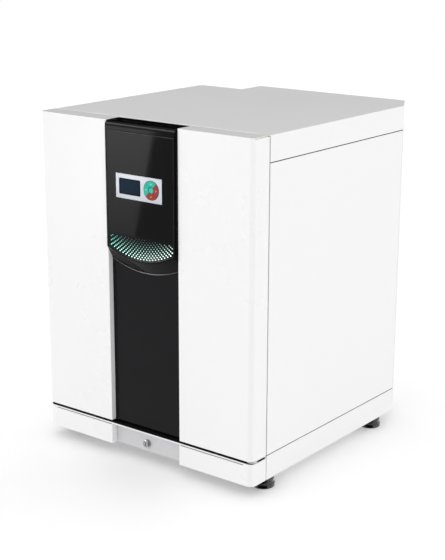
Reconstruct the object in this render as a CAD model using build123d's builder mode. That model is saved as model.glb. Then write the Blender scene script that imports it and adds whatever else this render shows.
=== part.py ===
from build123d import *
import math
import os

# A peltier incubator: an insulated cabinet on levelling feet with one full-height door in front.
# All sizes are in millimetres. X runs across the front, Y from the door to the back, Z up.
# The origin is on the floor, below the middle of the object's box.

# Cabinet body
cabinet_width = 580.0
cabinet_depth = 562.0
body_height = 727.0
corner_radius = 13.0
sheet = 1.5
fold_radius = 1.2
seam = 2.0
top_band = 53.5
skirt_height = 54.0

# Rear housing: a notch at the left and a slanted wall at the right
notch_width = 126.5
slant_width = 42.5
housing_depth = 78.0
housing_flange = 12.0

# Plinth below the door
plinth_height = 49.6
plinth_skin = 2.8
recess_depth = 15.7
recess_panel = 3.0
groove_height = 2.3
groove_depth = 1.6
groove_end = 23.0
cap_height = 1.0
tongue_lift = 8.0
tongue_height = 18.0
tongue_length = 12.0
trim_inset = 1.4

# Door
door_thickness = 48.5
door_gap = 3.0
door_clearance = 5.8
door_skin = 2.0
door_edge_radius = 1.6
channel_width = 193.2
channel_depth = 15.5
liner_plate = 3.0
plug_depth = 10.0
plug_gap = 9.0
plug_wall = 2.0
plug_chamfer = 4.0
gasket_width = 13.0
gasket_groove = 2.0
gasket_gap = 0.3
gasket_inset = 7.0
gasket_rounding = 1.2

# Chamber and its insulation
frame_thickness = 3.0
side_wall = 69.0
floor_wall = 50.0
ceiling_wall = 62.0
rear_wall = 68.0
liner = 1.0
liner_radius = 12.0
foam_joint = 0.5
foam_drop = 3.5

# Door hinge: a pivot pin above and below
hinge_inset = 12.0
hinge_back = 16.0
hinge_disc = 11.0
hinge_arm = 14.0
hinge_plate = 2.0
lower_plate = 2.5
lower_flange = 24.0
upper_tail = 26.0
hinge_block = 20.0
flange_screw_drops = (8.5, 17.5)
pin_radius = 4.0
pin_length = 14.0
pin_clearance = 0.05
bush_radius = 7.0
bush_length = 17.0
hinge_gap = 0.4

# Black cover on the door
cover_proud = 6.0
cover_wall = 2.5
cover_side_drop = 267.0
cover_sag = 25.0
lip_drop = 31.0
lip_sag = 22.4
bullnose = 10.0
cover_wrap = 41.8
cover_chamfer = 2.0
cover_margin = 5.6
lip_margin = 3.0
panel_drop = 20.0
panel_thickness = 3.0
black_panel_thickness = 3.0
black_panel_lift = 0.5
part_gap = 0.2

# Perforated light grille
grille_height = 34.0
grille_margin = 2.2
grille_thickness = 2.0
hole_pitch = 8.2
hole_row = 4.6
hole_radius = 1.8
diffuser_thickness = 3.0
diffuser_gap = 0.3

# Display plate, screen and keypad
plate_width = 126.6
plate_height = 52.6
plate_drop = 107.4
plate_shift = -1.8
plate_thickness = 3.0
plate_proud = 1.5
plate_seat = 3.0
plate_chamfer = 0.6
screen_width = 59.0
screen_height = 34.0
screen_inset = 9.2
screen_radius = 3.0
screen_sunk = 0.6
keypad_radius = 20.0
keypad_inset = 29.2
keypad_gap = 0.25
ring_inner = 7.4
centre_radius = 6.4
key_split = 0.8
key_proud = 0.8
key_thickness = 5.0
key_travel = 0.8
key_chamfer = 0.5
plunger_radius = 1.5
board_depth = 7.0
board_thickness = 1.6
board_border = 8.0
standoff_radius = 2.5

# Key lock in the plinth
lock_height = 18.5
lock_shift = -6.0
lock_proud = 8.0
lock_radius = 8.2
lock_length = 29.0
lock_plug_radius = 6.0
lock_nut = 11.0
lock_nut_depth = 4.0
cam_length = 46.0
cam_width = 13.0
cam_thickness = 2.5
cam_room = 2.0
cam_hub = 7.5
cam_rounding = 3.0
lock_chamfer = 0.8
key_slot = 1.6
key_slot_height = 8.0

# Levelling feet
foot_radius = 25.0
foot_pad = 24.0
foot_chamfer = 2.0
foot_gap = 2.0
foot_inset = 25.6
front_foot = 24.0
rear_foot = 58.0
stem_radius = 5.0
stem_length = 34.0
stem_clearance = 0.05
nut_radius = 9.5
nut_height = 8.0
floor_plate = 2.0
rib_off = 5.0

# Shelves
upright_width = 18.0
upright_thickness = 3.0
upright_end = 24.0
upright_pitch = 60.0
upright_slot = 11.0
upright_slot_height = 5.0
upright_front = 46.0
upright_rear = 70.0
rail_thickness = 1.5
rail_height = 16.0
rail_ledge = 14.0
rail_end = 26.0
shelf_thickness = 1.5
shelf_rim = 11.0
shelf_play = 1.5
shelf_lift = 0.2
shelf_steps = (2, 5)
shelf_slot_length = 76.0
shelf_slot_width = 12.0
shelf_slot_pitch = 52.0
shelf_web = 16.0

# Cooling and heating unit
thermal_drop = 232.0
baffle_sheet = 1.2
baffle_end = 12.0
baffle_room = 53.0
baffle_slot = 64.0
baffle_slot_height = 9.0
cold_width = 120.0
cold_base = 6.0
cold_fins = 11
hot_width = 120.0
hot_base = 8.0
hot_fins = 13
fin_thickness = 1.5
block_width = 84.0
block_height = 44.0
block_room = 0.4
module_size = 40.0
module_thickness = 4.0
module_pitch = 42.0
inner_fan = 92.0
outer_fan = 120.0
fan_depth = 25.0
fan_rim = 2.6
fan_corner = 5.0
fan_hub = 17.0
fan_blades = 7
blade_chord = 17.0
blade_thickness = 1.6
blade_pitch = 38.0
blade_tip_gap = 2.0
strut_depth = 3.0
strut_width = 4.0
rotor_gap = 0.6
shaft_radius = 1.5
shaft_clearance = 0.05
slot_height = 5.0
slot_pitch = 11.0
intake_lift = 290.0
intake_slot = 94.0

# Electrical parts in the rear housing
supply_width = 105.0
supply_height = 160.0
supply_depth = 48.0
supply_lift = 70.0
supply_chamfer = 3.0
inlet_width = 31.0
inlet_height = 66.0
inlet_flange = 2.0
inlet_body = 24.0
inlet_wall = 2.0
inlet_lift = 92.0
inlet_inset = 46.0
socket_width = 24.2
socket_height = 16.4
socket_depth = 17.0
socket_drop = 15.0
blade_length = 11.0
blade_spread = 7.0
blade_rise = 2.0
blade_width = 2.0
blade_height = 4.0
rocker_radius = 9.5
rocker_width = 12.6
rocker_gap = 0.25
rocker_rise = 15.0
rocker_sunk = 1.0
rocker_face = 4.2
rocker_tilt = 20.0

# Probe and screws
probe_radius = 2.0
probe_length = 70.0
probe_off = 6.0
probe_shift = 176.0
clip_size = 8.0
screw_head = 3.6
screw_head_height = 1.8
screw_edge = 14.0

# Planes and levels that follow from these sizes
half_width = cabinet_width / 2
front_reach = cover_proud + plate_proud + key_proud
overall_depth = front_reach + cabinet_depth + housing_depth + inlet_flange
y_face = front_reach - overall_depth / 2
y_door_back = y_face + door_thickness
y_front = y_door_back + door_gap
y_frame_back = y_front + frame_thickness
y_rear = y_face + cabinet_depth
y_housing = y_rear + housing_depth
y_cover = y_face - cover_proud
y_channel = y_face + channel_depth
y_black_panel = y_channel - black_panel_thickness
y_recess = y_face + recess_depth
y_chamber_back = y_rear - rear_wall
y_foam_back = y_rear - sheet
y_baffle = y_chamber_back - baffle_room
z_base = foot_pad + foot_gap
z_top = z_base + body_height
z_skirt = z_base + skirt_height
z_band = z_top - top_band
z_plinth = z_base + plinth_height
z_cap = z_plinth + cap_height
z_door = z_plinth + door_clearance
z_trim = z_door - cap_height
z_chamber = z_skirt + floor_wall
z_ceiling = z_top - sheet - ceiling_wall
z_foam_top = z_top - sheet - foam_drop
z_thermal = z_top - thermal_drop
housing_left = -half_width + notch_width
housing_right = half_width - slant_width
thermal_x = (housing_left + housing_right) / 2
chamber_half = half_width - side_wall
channel_half = channel_width / 2
hinge_x = half_width - hinge_inset
hinge_y = y_face + hinge_back
y_tail = y_frame_back + upper_tail / 2
z_tail = z_top - sheet
lock_z = z_base + lock_height
cabinet_outline = [
    (-half_width, y_front),
    (half_width, y_front),
    (half_width, y_rear),
    (housing_right, y_housing),
    (housing_left, y_housing),
    (housing_left, y_rear),
    (-half_width, y_rear),
]


def facing(y):
    """Gives a plane across the object at depth y, drawn in X and Z and facing the front."""
    return Plane(origin=(0, y, 0), x_dir=(1, 0, 0), z_dir=(0, -1, 0))


def span(low, high, mode=Mode.ADD):
    """Draws a rectangle between two corners in the open sketch."""
    with Locations(((low[0] + high[0]) / 2, (low[1] + high[1]) / 2)):
        Rectangle(high[0] - low[0], high[1] - low[1], mode=mode)


def polygon(points):
    """Fills a closed outline in the open sketch."""
    Polygon(*points, align=None)


def front_profile(plan, inset, back):
    """Draws the plan of the door and plinth, set in from their skin, with round front corners."""
    side = half_width - inset
    polygon([(-side, back), (-side, y_face + inset), (side, y_face + inset), (side, back)])
    fillet(plan.vertices().group_by(Axis.Y)[0], corner_radius - inset)


def channel_cut(inset):
    """Removes the door's front channel from the open plan sketch."""
    span((-channel_half - inset, y_face - 1), (channel_half + inset, y_channel + inset), Mode.SUBTRACT)


def arched(half, side_level, sag, top):
    """Draws a face with a level top and a lower edge that hangs in an arc."""
    with BuildLine() as edge:
        Polyline((-half, side_level), (-half, top), (half, top), (half, side_level))
        ThreePointArc((half, side_level), (0, side_level - sag), (-half, side_level))
    make_face(edge.edges())


def write(piece, name):
    """Labels a finished piece and writes it to its file."""
    piece.part.label = name
    export_step(piece.part, "parts/" + name + ".step")


os.makedirs("parts", exist_ok=True)

# Top cover: a folded tray over the cabinet and its rear housing, open in front
with BuildPart() as top_cover:
    with BuildSketch(Plane.XY.offset(z_band)):
        polygon(cabinet_outline)
    extrude(amount=top_band)
    fillet(top_cover.faces().sort_by(Axis.Z)[-1].edges(), fold_radius)
    with BuildSketch(Plane.XY.offset(z_band)):
        polygon(cabinet_outline)
        offset(amount=-sheet, kind=Kind.INTERSECTION)
    extrude(amount=top_band - sheet, mode=Mode.SUBTRACT)
    with BuildSketch(facing(y_front + sheet)):
        span((-half_width + sheet, z_band), (half_width - sheet, z_top - sheet))
    extrude(amount=2 * sheet, mode=Mode.SUBTRACT)
    with BuildSketch(Plane.XY.offset(z_top)):
        with Locations((hinge_x, y_front)):
            Rectangle(hinge_arm + 2 * hinge_gap, 2 * (frame_thickness + hinge_gap))
    extrude(amount=-sheet, mode=Mode.SUBTRACT)
write(top_cover, "top_cover")

# Base tray: the floor sheet, its skirt and the welded nuts of the feet
foot_places = [
    (-half_width + foot_inset, y_front + front_foot),
    (half_width - foot_inset, y_front + front_foot),
    (-half_width + foot_inset, y_rear - rear_foot),
    (half_width - foot_inset, y_rear - rear_foot),
]
flange_screws = [(hinge_x, z_plinth - drop) for drop in flange_screw_drops]
with BuildPart() as base_tray:
    with BuildSketch(Plane.XY.offset(z_base)):
        polygon(cabinet_outline)
    extrude(amount=skirt_height)
    with BuildSketch(Plane.XY.offset(z_base + sheet)):
        polygon(cabinet_outline)
        offset(amount=-sheet, kind=Kind.INTERSECTION)
    extrude(amount=skirt_height, mode=Mode.SUBTRACT)
    with BuildSketch(Plane.XY.offset(z_base)):
        with Locations(*foot_places):
            RegularPolygon(nut_radius, 6)
    extrude(amount=sheet + nut_height)
    with BuildSketch(Plane.XY.offset(z_base)):
        with Locations(*foot_places):
            Circle(stem_radius + stem_clearance)
    extrude(amount=sheet + nut_height, mode=Mode.SUBTRACT)
write(base_tray, "base_tray")

# Chassis floor: the plate that carries the chamber, on cross ribs that stand in the tray
rib_step = foot_radius + rib_off
rib_places = [y_front + front_foot + rib_step, (y_front + y_rear) / 2, y_rear - rear_foot - rib_step]
with BuildPart() as chassis_floor:
    with BuildSketch(Plane.XY.offset(z_skirt - floor_plate)):
        span((-half_width + sheet, y_front + sheet), (half_width - sheet, y_foam_back))
    extrude(amount=floor_plate)
    with BuildSketch(Plane.XY.offset(z_base + sheet)):
        for y in rib_places:
            span((-half_width + sheet, y), (half_width - sheet, y + floor_plate))
    extrude(amount=skirt_height - sheet - floor_plate)
write(chassis_floor, "chassis_floor")

# Side panels: sheets with a fold round the rear corner
for side, name in ((-1, "side_panel_left"), (1, "side_panel_right")):
    with BuildPart() as side_panel:
        with BuildSketch(Plane.XY.offset(z_skirt + seam)):
            outer = side * half_width
            inner = side * (half_width - sheet)
            folded = side * (half_width - housing_flange)
            span((min(outer, inner), y_front), (max(outer, inner), y_rear))
            span((min(outer, folded), y_foam_back), (max(outer, folded), y_rear))
        extrude(amount=z_band - z_skirt - 2 * seam)
        outer_corner = side_panel.edges().filter_by(Axis.Z).group_by(Axis.Y)[-1].sort_by(Axis.X)
        fillet(outer_corner[-1] if side > 0 else outer_corner[0], fold_radius)
    write(side_panel, name)

# Front frame: the collar round the chamber's mouth, with a block that takes the upper hinge
with BuildPart() as front_frame:
    with BuildSketch(facing(y_frame_back)):
        span((-half_width + sheet, z_skirt), (half_width - sheet, z_top - sheet))
        with Locations((0, (z_chamber + z_ceiling) / 2)):
            RectangleRounded(2 * chamber_half, z_ceiling - z_chamber, liner_radius, mode=Mode.SUBTRACT)
    extrude(amount=frame_thickness)
    with BuildSketch(Plane.XY.offset(z_tail - hinge_plate)):
        with Locations((hinge_x, y_tail)):
            Rectangle(hinge_arm, upper_tail)
    extrude(amount=-hinge_block)
    with BuildSketch(Plane.XY.offset(z_top - sheet)):
        with Locations((hinge_x, y_frame_back)):
            Rectangle(hinge_arm + 2 * hinge_gap, 2 * upper_tail)
    extrude(amount=-hinge_plate, mode=Mode.SUBTRACT)
write(front_frame, "front_frame")

# Insulation: floor, ceiling, side and rear slabs of foam round the liner
liner_half = chamber_half + liner
with BuildPart() as insulation:
    with BuildSketch(facing(y_foam_back)):
        for side in (-1, 1):
            near = side * liner_half
            far = side * (half_width - sheet)
            span((min(near, far), z_skirt), (max(near, far), z_foam_top))
        inner = liner_half - foam_joint
        span((-inner, z_skirt), (inner, z_chamber - liner))
        span((-inner, z_ceiling + liner), (inner, z_foam_top))
    extrude(amount=y_foam_back - y_frame_back)
    with BuildSketch(facing(y_foam_back)):
        span((-inner, z_chamber - liner + foam_joint), (inner, z_ceiling + liner - foam_joint))
    extrude(amount=y_foam_back - y_chamber_back - liner)
    with BuildSketch(facing(y_foam_back)):
        with Locations((thermal_x, z_thermal)):
            Rectangle(block_width + block_room, block_height + block_room)
    extrude(amount=rear_wall, mode=Mode.SUBTRACT)
    with BuildSketch(Plane.XY.offset(z_foam_top)):
        with Locations((hinge_x, y_frame_back)):
            Rectangle(hinge_arm + 2 * foam_joint, 2 * upper_tail + 2 * foam_joint)
    extrude(amount=-hinge_block, mode=Mode.SUBTRACT)
write(insulation, "insulation")

# Chamber liner: a stainless box with round corners, open in front
with BuildPart() as chamber_liner:
    with BuildSketch(facing(y_chamber_back + liner)) as outside:
        span((-liner_half, z_chamber - liner), (liner_half, z_ceiling + liner))
        fillet(outside.vertices(), liner_radius + liner)
    extrude(amount=y_chamber_back + liner - y_frame_back)
    with BuildSketch(facing(y_chamber_back)) as inside:
        span((-chamber_half, z_chamber), (chamber_half, z_ceiling))
        fillet(inside.vertices(), liner_radius)
    extrude(amount=y_chamber_back - y_frame_back, mode=Mode.SUBTRACT)
    with BuildSketch(facing(y_chamber_back + liner)):
        with Locations((thermal_x, z_thermal)):
            Rectangle(block_width + block_room, block_height + block_room)
    extrude(amount=liner, mode=Mode.SUBTRACT)
write(chamber_liner, "chamber_liner")

# Shelf uprights: four slotted strips on the chamber's side walls
upright_places = [y_frame_back + upright_front, y_baffle - upright_rear]
upright_low = z_chamber + upright_end
upright_high = z_ceiling - upright_end
slot_count = int((upright_high - upright_low - upright_slot) // upright_pitch)
slot_levels = [upright_low + upright_pitch * (n + 0.5) for n in range(slot_count)]
with BuildPart() as shelf_uprights:
    for side in (-1, 1):
        wall = side * chamber_half
        with BuildSketch(Plane.YZ.offset(wall)):
            for y in upright_places:
                span((y, upright_low), (y + upright_width, upright_high))
            with Locations(*[(y + upright_width / 2, z) for y in upright_places for z in slot_levels]):
                Rectangle(upright_slot, upright_slot_height, mode=Mode.SUBTRACT)
        extrude(amount=-side * upright_thickness)
write(shelf_uprights, "shelf_uprights")

# Shelf rails: angle sections hung on the uprights, two to a shelf
rail_face = chamber_half - upright_thickness
shelf_levels = [upright_low + upright_pitch * (n + 0.5) for n in shelf_steps]
with BuildPart() as shelf_rails:
    with BuildSketch(facing(y_baffle - rail_end)):
        for level in shelf_levels:
            for side in (-1, 1):
                back = side * rail_face
                web = side * (rail_face - rail_thickness)
                ledge = side * (rail_face - rail_ledge)
                span((min(back, web), level), (max(back, web), level + rail_height))
                span((min(back, ledge), level), (max(back, ledge), level + rail_thickness))
    extrude(amount=y_baffle - rail_end - y_frame_back - rail_end)
write(shelf_rails, "shelf_rails")

# Shelves: perforated sheets with a turned-up rim in front and behind, resting on the rails
shelf_half = rail_face - rail_thickness - shelf_play
shelf_front = y_frame_back + rail_end
shelf_depth = y_baffle - rail_end - shelf_front
for level, name in zip(shelf_levels, ("shelf_lower", "shelf_upper")):
    with BuildPart() as shelf:
        underside = level + rail_thickness + shelf_lift
        with BuildSketch(Plane.XY.offset(underside)):
            span((-shelf_half, shelf_front), (shelf_half, shelf_front + shelf_depth))
            with Locations((0, shelf_front + shelf_depth / 2)):
                with GridLocations(shelf_slot_length + shelf_web, shelf_slot_pitch, 4, 6):
                    Rectangle(shelf_slot_length, shelf_slot_width, mode=Mode.SUBTRACT)
        extrude(amount=shelf_thickness)
        with BuildSketch(Plane.XY.offset(underside)):
            span((-shelf_half, shelf_front), (shelf_half, shelf_front + shelf_thickness))
            high = shelf_front + shelf_depth
            span((-shelf_half, high - shelf_thickness), (shelf_half, high))
        extrude(amount=shelf_rim)
    write(shelf, name)

# Cooling unit: heat sinks as combs, drawn in plan and extruded upwards
def heat_sink(width, base_low, base_high, fin_end, fins):
    """Draws the plan of a heat sink with its base between two depths and fins that reach to fin_end."""
    left = thermal_x - width / 2
    span((left, base_low), (left + width, base_high))
    step = (width - fin_thickness) / (fins - 1)
    for n in range(fins):
        span((left + n * step, min(base_low, fin_end)), (left + n * step + fin_thickness, max(base_high, fin_end)))


y_module = y_foam_back - module_thickness
exhaust_back = y_housing - sheet
y_hot_fins = exhaust_back - fan_depth
with BuildPart() as cold_sink:
    with BuildSketch(Plane.XY.offset(z_thermal - cold_width / 2)):
        heat_sink(cold_width, y_chamber_back - cold_base, y_chamber_back,
                  y_baffle + baffle_sheet + fan_depth, cold_fins)
    extrude(amount=cold_width)
write(cold_sink, "cold_sink")

with BuildPart() as cold_block:
    with BuildSketch(facing(y_module)):
        with Locations((thermal_x, z_thermal)):
            Rectangle(block_width, block_height)
    extrude(amount=y_module - y_chamber_back)
write(cold_block, "cold_block")

with BuildPart() as peltier_modules:
    with BuildSketch(facing(y_foam_back)):
        with Locations((thermal_x, z_thermal)):
            with GridLocations(module_pitch, module_size, 2, 1):
                Rectangle(module_size, module_size)
    extrude(amount=module_thickness)
write(peltier_modules, "peltier_modules")

with BuildPart() as hot_sink:
    with BuildSketch(Plane.XY.offset(z_thermal - hot_width / 2)):
        heat_sink(hot_width, y_foam_back, y_foam_back + hot_base, y_hot_fins, hot_fins)
    extrude(amount=hot_width)
write(hot_sink, "hot_sink")


def fan_frame(size, back):
    """Builds a square fan frame whose motor mount and struts are at its back."""
    bore = size / 2 - fan_rim
    with BuildPart() as frame:
        with BuildSketch(facing(back)) as outline:
            with Locations((thermal_x, z_thermal)):
                Rectangle(size, size)
            chamfer(outline.vertices(), fan_corner)
            with Locations((thermal_x, z_thermal)):
                Circle(bore, mode=Mode.SUBTRACT)
        extrude(amount=fan_depth)
        with BuildSketch(facing(back)):
            with Locations((thermal_x, z_thermal)):
                Circle(fan_hub)
                Rectangle(2 * bore + fan_rim, strut_width)
                Rectangle(strut_width, 2 * bore + fan_rim)
                Circle(shaft_radius + shaft_clearance, mode=Mode.SUBTRACT)
        extrude(amount=strut_depth)
    return frame


def fan_rotor(size, back):
    """Builds a fan's hub, shaft and twisted blades, in front of the motor mount."""
    hub_back = back - strut_depth - rotor_gap
    hub_length = fan_depth - strut_depth - 2 * rotor_gap
    tip = size / 2 - fan_rim - blade_tip_gap
    middle = hub_back - hub_length / 2
    with BuildPart() as rotor:
        with BuildSketch(facing(hub_back)):
            with Locations((thermal_x, z_thermal)):
                Circle(fan_hub)
        extrude(amount=hub_length)
        with BuildSketch(facing(back - rotor_gap)):
            with Locations((thermal_x, z_thermal)):
                Circle(shaft_radius)
        extrude(amount=strut_depth + rotor_gap)
        for n in range(fan_blades):
            turn = 2 * math.pi * n / fan_blades
            outward = Vector(math.cos(turn), 0, math.sin(turn))
            root = Vector(thermal_x, middle, z_thermal) + outward * (fan_hub - blade_thickness)
            with BuildSketch(Plane(origin=root, x_dir=(0, 1, 0), z_dir=outward)):
                Rectangle(blade_chord, blade_thickness, rotation=blade_pitch)
            extrude(amount=tip - fan_hub + blade_thickness)
    return rotor


circulation_back = y_baffle + baffle_sheet + fan_depth
circulation_fan_frame = fan_frame(inner_fan, circulation_back)
write(circulation_fan_frame, "circulation_fan_frame")
circulation_fan_rotor = fan_rotor(inner_fan, circulation_back)
write(circulation_fan_rotor, "circulation_fan_rotor")
exhaust_fan_frame = fan_frame(outer_fan, exhaust_back)
write(exhaust_fan_frame, "exhaust_fan_frame")
exhaust_fan_rotor = fan_rotor(outer_fan, exhaust_back)
write(exhaust_fan_rotor, "exhaust_fan_rotor")


def round_grille(radius, mode=Mode.ADD):
    """Draws level slots inside a circle round the fan's axis in the open sketch."""
    rows = int(radius // slot_pitch)
    for n in range(-rows, rows + 1):
        chord = 2 * math.sqrt(radius ** 2 - (n * slot_pitch) ** 2)
        if chord > 4 * slot_height:
            with Locations((thermal_x, z_thermal + n * slot_pitch)):
                Rectangle(chord, slot_height, mode=mode)


# Air baffle: a sheet in front of the fan with side folds back to the liner
baffle_half = chamber_half - baffle_end
with BuildPart() as air_baffle:
    with BuildSketch(facing(y_baffle + baffle_sheet)):
        span((-baffle_half, z_chamber + baffle_end), (baffle_half, z_ceiling - baffle_end))
        round_grille(inner_fan / 2 - 2 * fan_rim, Mode.SUBTRACT)
        for level in (z_chamber + 3 * baffle_end, z_ceiling - 3 * baffle_end):
            with Locations((0, level)):
                with GridLocations(baffle_slot + shelf_web, slot_pitch, 5, 1):
                    Rectangle(baffle_slot, baffle_slot_height, mode=Mode.SUBTRACT)
    extrude(amount=baffle_sheet)
    with BuildSketch(facing(y_chamber_back)):
        for side in (-1, 1):
            near = side * (baffle_half - baffle_sheet)
            far = side * baffle_half
            span((min(near, far), z_chamber + baffle_end), (max(near, far), z_ceiling - baffle_end))
    extrude(amount=baffle_room)
write(air_baffle, "air_baffle")

# Temperature probe: a rod held off the baffle by two clips
probe_x = thermal_x - probe_shift
with BuildPart() as temperature_probe:
    with BuildSketch(Plane.XY.offset(z_thermal - probe_length / 2)):
        with Locations((probe_x, y_baffle - probe_off)):
            Circle(probe_radius)
    extrude(amount=probe_length)
    with BuildSketch(facing(y_baffle)):
        with Locations((probe_x, z_thermal)):
            with GridLocations(clip_size, probe_length / 2, 1, 2):
                Rectangle(clip_size, clip_size)
    extrude(amount=probe_off + 1.5 * probe_radius)
write(temperature_probe, "temperature_probe")

# Rear panel: the cabinet's back sheet, with a window for the hot side
rear_low = z_skirt + seam
rear_high = z_band - seam
strip_screws = [(x, z) for x in (-half_width + housing_flange + screw_edge, housing_left - screw_edge)
                for z in (rear_low + screw_edge, (rear_low + rear_high) / 2, rear_high - screw_edge)]
with BuildPart() as rear_panel:
    with BuildSketch(facing(y_rear)):
        side = half_width - housing_flange - part_gap
        span((-side, rear_low), (side, rear_high))
        with Locations((thermal_x, z_thermal)):
            Rectangle(hot_width + 2 * foam_joint, hot_width + 2 * foam_joint, mode=Mode.SUBTRACT)
    extrude(amount=sheet)
write(rear_panel, "rear_panel")

# Rear housing: a folded cover behind the cabinet, with the exhaust grille and air inlets
housing_plan = [
    (housing_left, y_rear),
    (housing_left, y_housing),
    (housing_right, y_housing),
    (half_width, y_rear),
]
inlet_x = housing_right - inlet_inset
inlet_z = z_base + inlet_lift
housing_screws = [(x, z) for x in (housing_left + screw_edge, housing_right - screw_edge)
                  for z in (rear_low + screw_edge, (rear_low + rear_high) / 2, rear_high - screw_edge)]
with BuildPart() as rear_housing:
    with BuildSketch(Plane.XY.offset(rear_low)):
        polygon(housing_plan)
        offset(amount=-sheet, kind=Kind.INTERSECTION, mode=Mode.SUBTRACT)
        span((housing_left + sheet + housing_flange, y_rear),
             (half_width - 2 * housing_flange, y_rear + 2 * sheet), Mode.SUBTRACT)
    extrude(amount=rear_high - rear_low)
    with BuildSketch(facing(y_housing)):
        round_grille(outer_fan / 2 - 2 * fan_rim)
        with Locations((thermal_x, z_base + intake_lift)):
            with GridLocations(intake_slot + shelf_web, slot_pitch, 3, 4):
                Rectangle(intake_slot, slot_height)
        with Locations((inlet_x, inlet_z)):
            Rectangle(inlet_width - 2 * inlet_wall, inlet_height - 4 * inlet_wall)
    extrude(amount=sheet, mode=Mode.SUBTRACT)
write(rear_housing, "rear_housing")

# Cabinet screws: hexagon heads on the housing, on the rear panel and on the lower hinge plate
with BuildPart() as cabinet_screws:
    for places, face in ((housing_screws, y_housing), (strip_screws, y_rear)):
        with BuildSketch(facing(face + screw_head_height)):
            with Locations(*places):
                RegularPolygon(screw_head, 6)
        extrude(amount=screw_head_height)
    with BuildSketch(facing(y_front - hinge_plate)):
        with Locations(*flange_screws):
            RegularPolygon(screw_head, 6)
    extrude(amount=screw_head_height)
write(cabinet_screws, "cabinet_screws")

# Power supply on the rear panel, inside the housing
supply_x = housing_left + sheet + supply_width / 2 + screw_edge
with BuildPart() as power_supply:
    with BuildSketch(facing(y_rear + supply_depth)):
        with Locations((supply_x, z_base + supply_lift + supply_height / 2)):
            Rectangle(supply_width, supply_height)
    extrude(amount=supply_depth)
    chamfer(power_supply.faces().sort_by(Axis.Y)[-1].edges(), supply_chamfer)
write(power_supply, "power_supply")

# Mains inlet: one flanged moulding with the plug's socket and the rocker's well
socket_z = inlet_z - inlet_height / 2 + socket_drop + socket_height / 2
rocker_z = inlet_z + rocker_rise
y_flange = y_housing + inlet_flange
with BuildPart() as mains_inlet:
    with BuildSketch(facing(y_flange)):
        with Locations((inlet_x, inlet_z)):
            RectangleRounded(inlet_width, inlet_height, inlet_wall)
    extrude(amount=inlet_flange)
    with BuildSketch(facing(y_housing)):
        with Locations((inlet_x, inlet_z)):
            body = 2 * (inlet_wall + part_gap)
            Rectangle(inlet_width - body, inlet_height - 2 * body)
    extrude(amount=inlet_body)
    with BuildSketch(facing(y_flange)):
        with Locations((inlet_x, socket_z)):
            Rectangle(socket_width, socket_height)
    extrude(amount=socket_depth, mode=Mode.SUBTRACT)
    bevels = mains_inlet.edges().filter_by(Axis.Y).filter_by(
        lambda e: e.center().Z > socket_z and abs(e.center().Z - socket_z - socket_height / 2) < 0.1)
    chamfer(bevels, socket_height / 4)
    with BuildSketch(facing(y_flange)):
        with Locations((inlet_x, rocker_z)):
            Rectangle(rocker_width + 2 * rocker_gap, 2 * (rocker_radius + rocker_gap))
    extrude(amount=socket_depth, mode=Mode.SUBTRACT)
    with BuildSketch(facing(y_flange - socket_depth)):
        low = socket_z - blade_rise
        with Locations((inlet_x - blade_spread, low), (inlet_x + blade_spread, low), (inlet_x, low + 2 * blade_rise)):
            Rectangle(blade_width, blade_height)
    extrude(amount=-blade_length)
write(mains_inlet, "mains_inlet")

# Mains rocker: a round-backed key whose face is two flats, with the lower one level with the well
y_rocker = y_flange - rocker_sunk - rocker_face
with BuildPart() as power_rocker:
    with BuildSketch(Plane.YZ.offset(inlet_x - rocker_width / 2)):
        with Locations((y_rocker, rocker_z)):
            Circle(rocker_radius)
        reach = 2 * rocker_radius
        face = y_rocker + rocker_face
        slope = math.tan(math.radians(rocker_tilt)) * reach
        Polygon((face, rocker_z), (face - slope, rocker_z + reach), (face + reach, rocker_z + reach),
                (face + reach, rocker_z - reach), (face, rocker_z - reach), align=None, mode=Mode.SUBTRACT)
    extrude(amount=rocker_width)
write(power_rocker, "power_rocker")

# Plinth: the front cover below the door, with a groove under its lip and a recess for the lock
plinth_low = z_plinth - plinth_skin
lock_face = y_recess - lock_proud
lock_reach = lock_face + lock_length
y_cam = lock_reach + part_gap
slot_low = (lock_shift - cam_length + cam_room, y_cam - cam_room)
slot_high = (lock_shift + cam_width, y_cam + cam_thickness + cam_room)
with BuildPart() as plinth_front:
    with BuildSketch(Plane.XY.offset(z_base)) as outside:
        front_profile(outside, 0, y_door_back)
    extrude(amount=plinth_height)
    with BuildSketch(Plane.XY.offset(z_base)) as inside:
        front_profile(inside, plinth_skin, y_door_back + 1)
    extrude(amount=plinth_height - plinth_skin, mode=Mode.SUBTRACT)
    with BuildSketch(Plane.XY.offset(z_base)):
        for side in (-1, 1):
            near = side * channel_half
            far = side * (channel_half + plinth_skin)
            span((min(near, far), y_face), (max(near, far), y_recess + recess_panel))
    extrude(amount=plinth_height - plinth_skin)
    with BuildSketch(Plane.XY.offset(z_base)):
        span((-channel_half, y_face - 1), (channel_half, y_recess))
    extrude(amount=plinth_height - plinth_skin, mode=Mode.SUBTRACT)
    with BuildSketch(facing(y_face + groove_depth)):
        end = half_width - groove_end
        span((-end, plinth_low - groove_height), (end, plinth_low))
    extrude(amount=groove_depth + 1, mode=Mode.SUBTRACT)
    with BuildSketch(Plane.XY.offset(z_plinth)):
        span(slot_low, slot_high)
    extrude(amount=-plinth_skin, mode=Mode.SUBTRACT)
    with BuildSketch(Plane.XY.offset(z_base + tongue_lift)):
        for side in (-1, 1):
            near = side * (half_width - plinth_skin)
            far = side * (half_width - 2 * plinth_skin)
            span((min(near, far), y_door_back - tongue_length), (max(near, far), y_front))
    extrude(amount=tongue_height)
write(plinth_front, "plinth_front")

with BuildPart() as plinth_centre:
    with BuildSketch(facing(y_recess + recess_panel)):
        span((-channel_half + part_gap, z_base), (channel_half - part_gap, plinth_low - part_gap))
        with Locations((lock_shift, lock_z)):
            Circle(lock_radius + part_gap, mode=Mode.SUBTRACT)
    extrude(amount=recess_panel)
write(plinth_centre, "plinth_centre")

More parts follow.
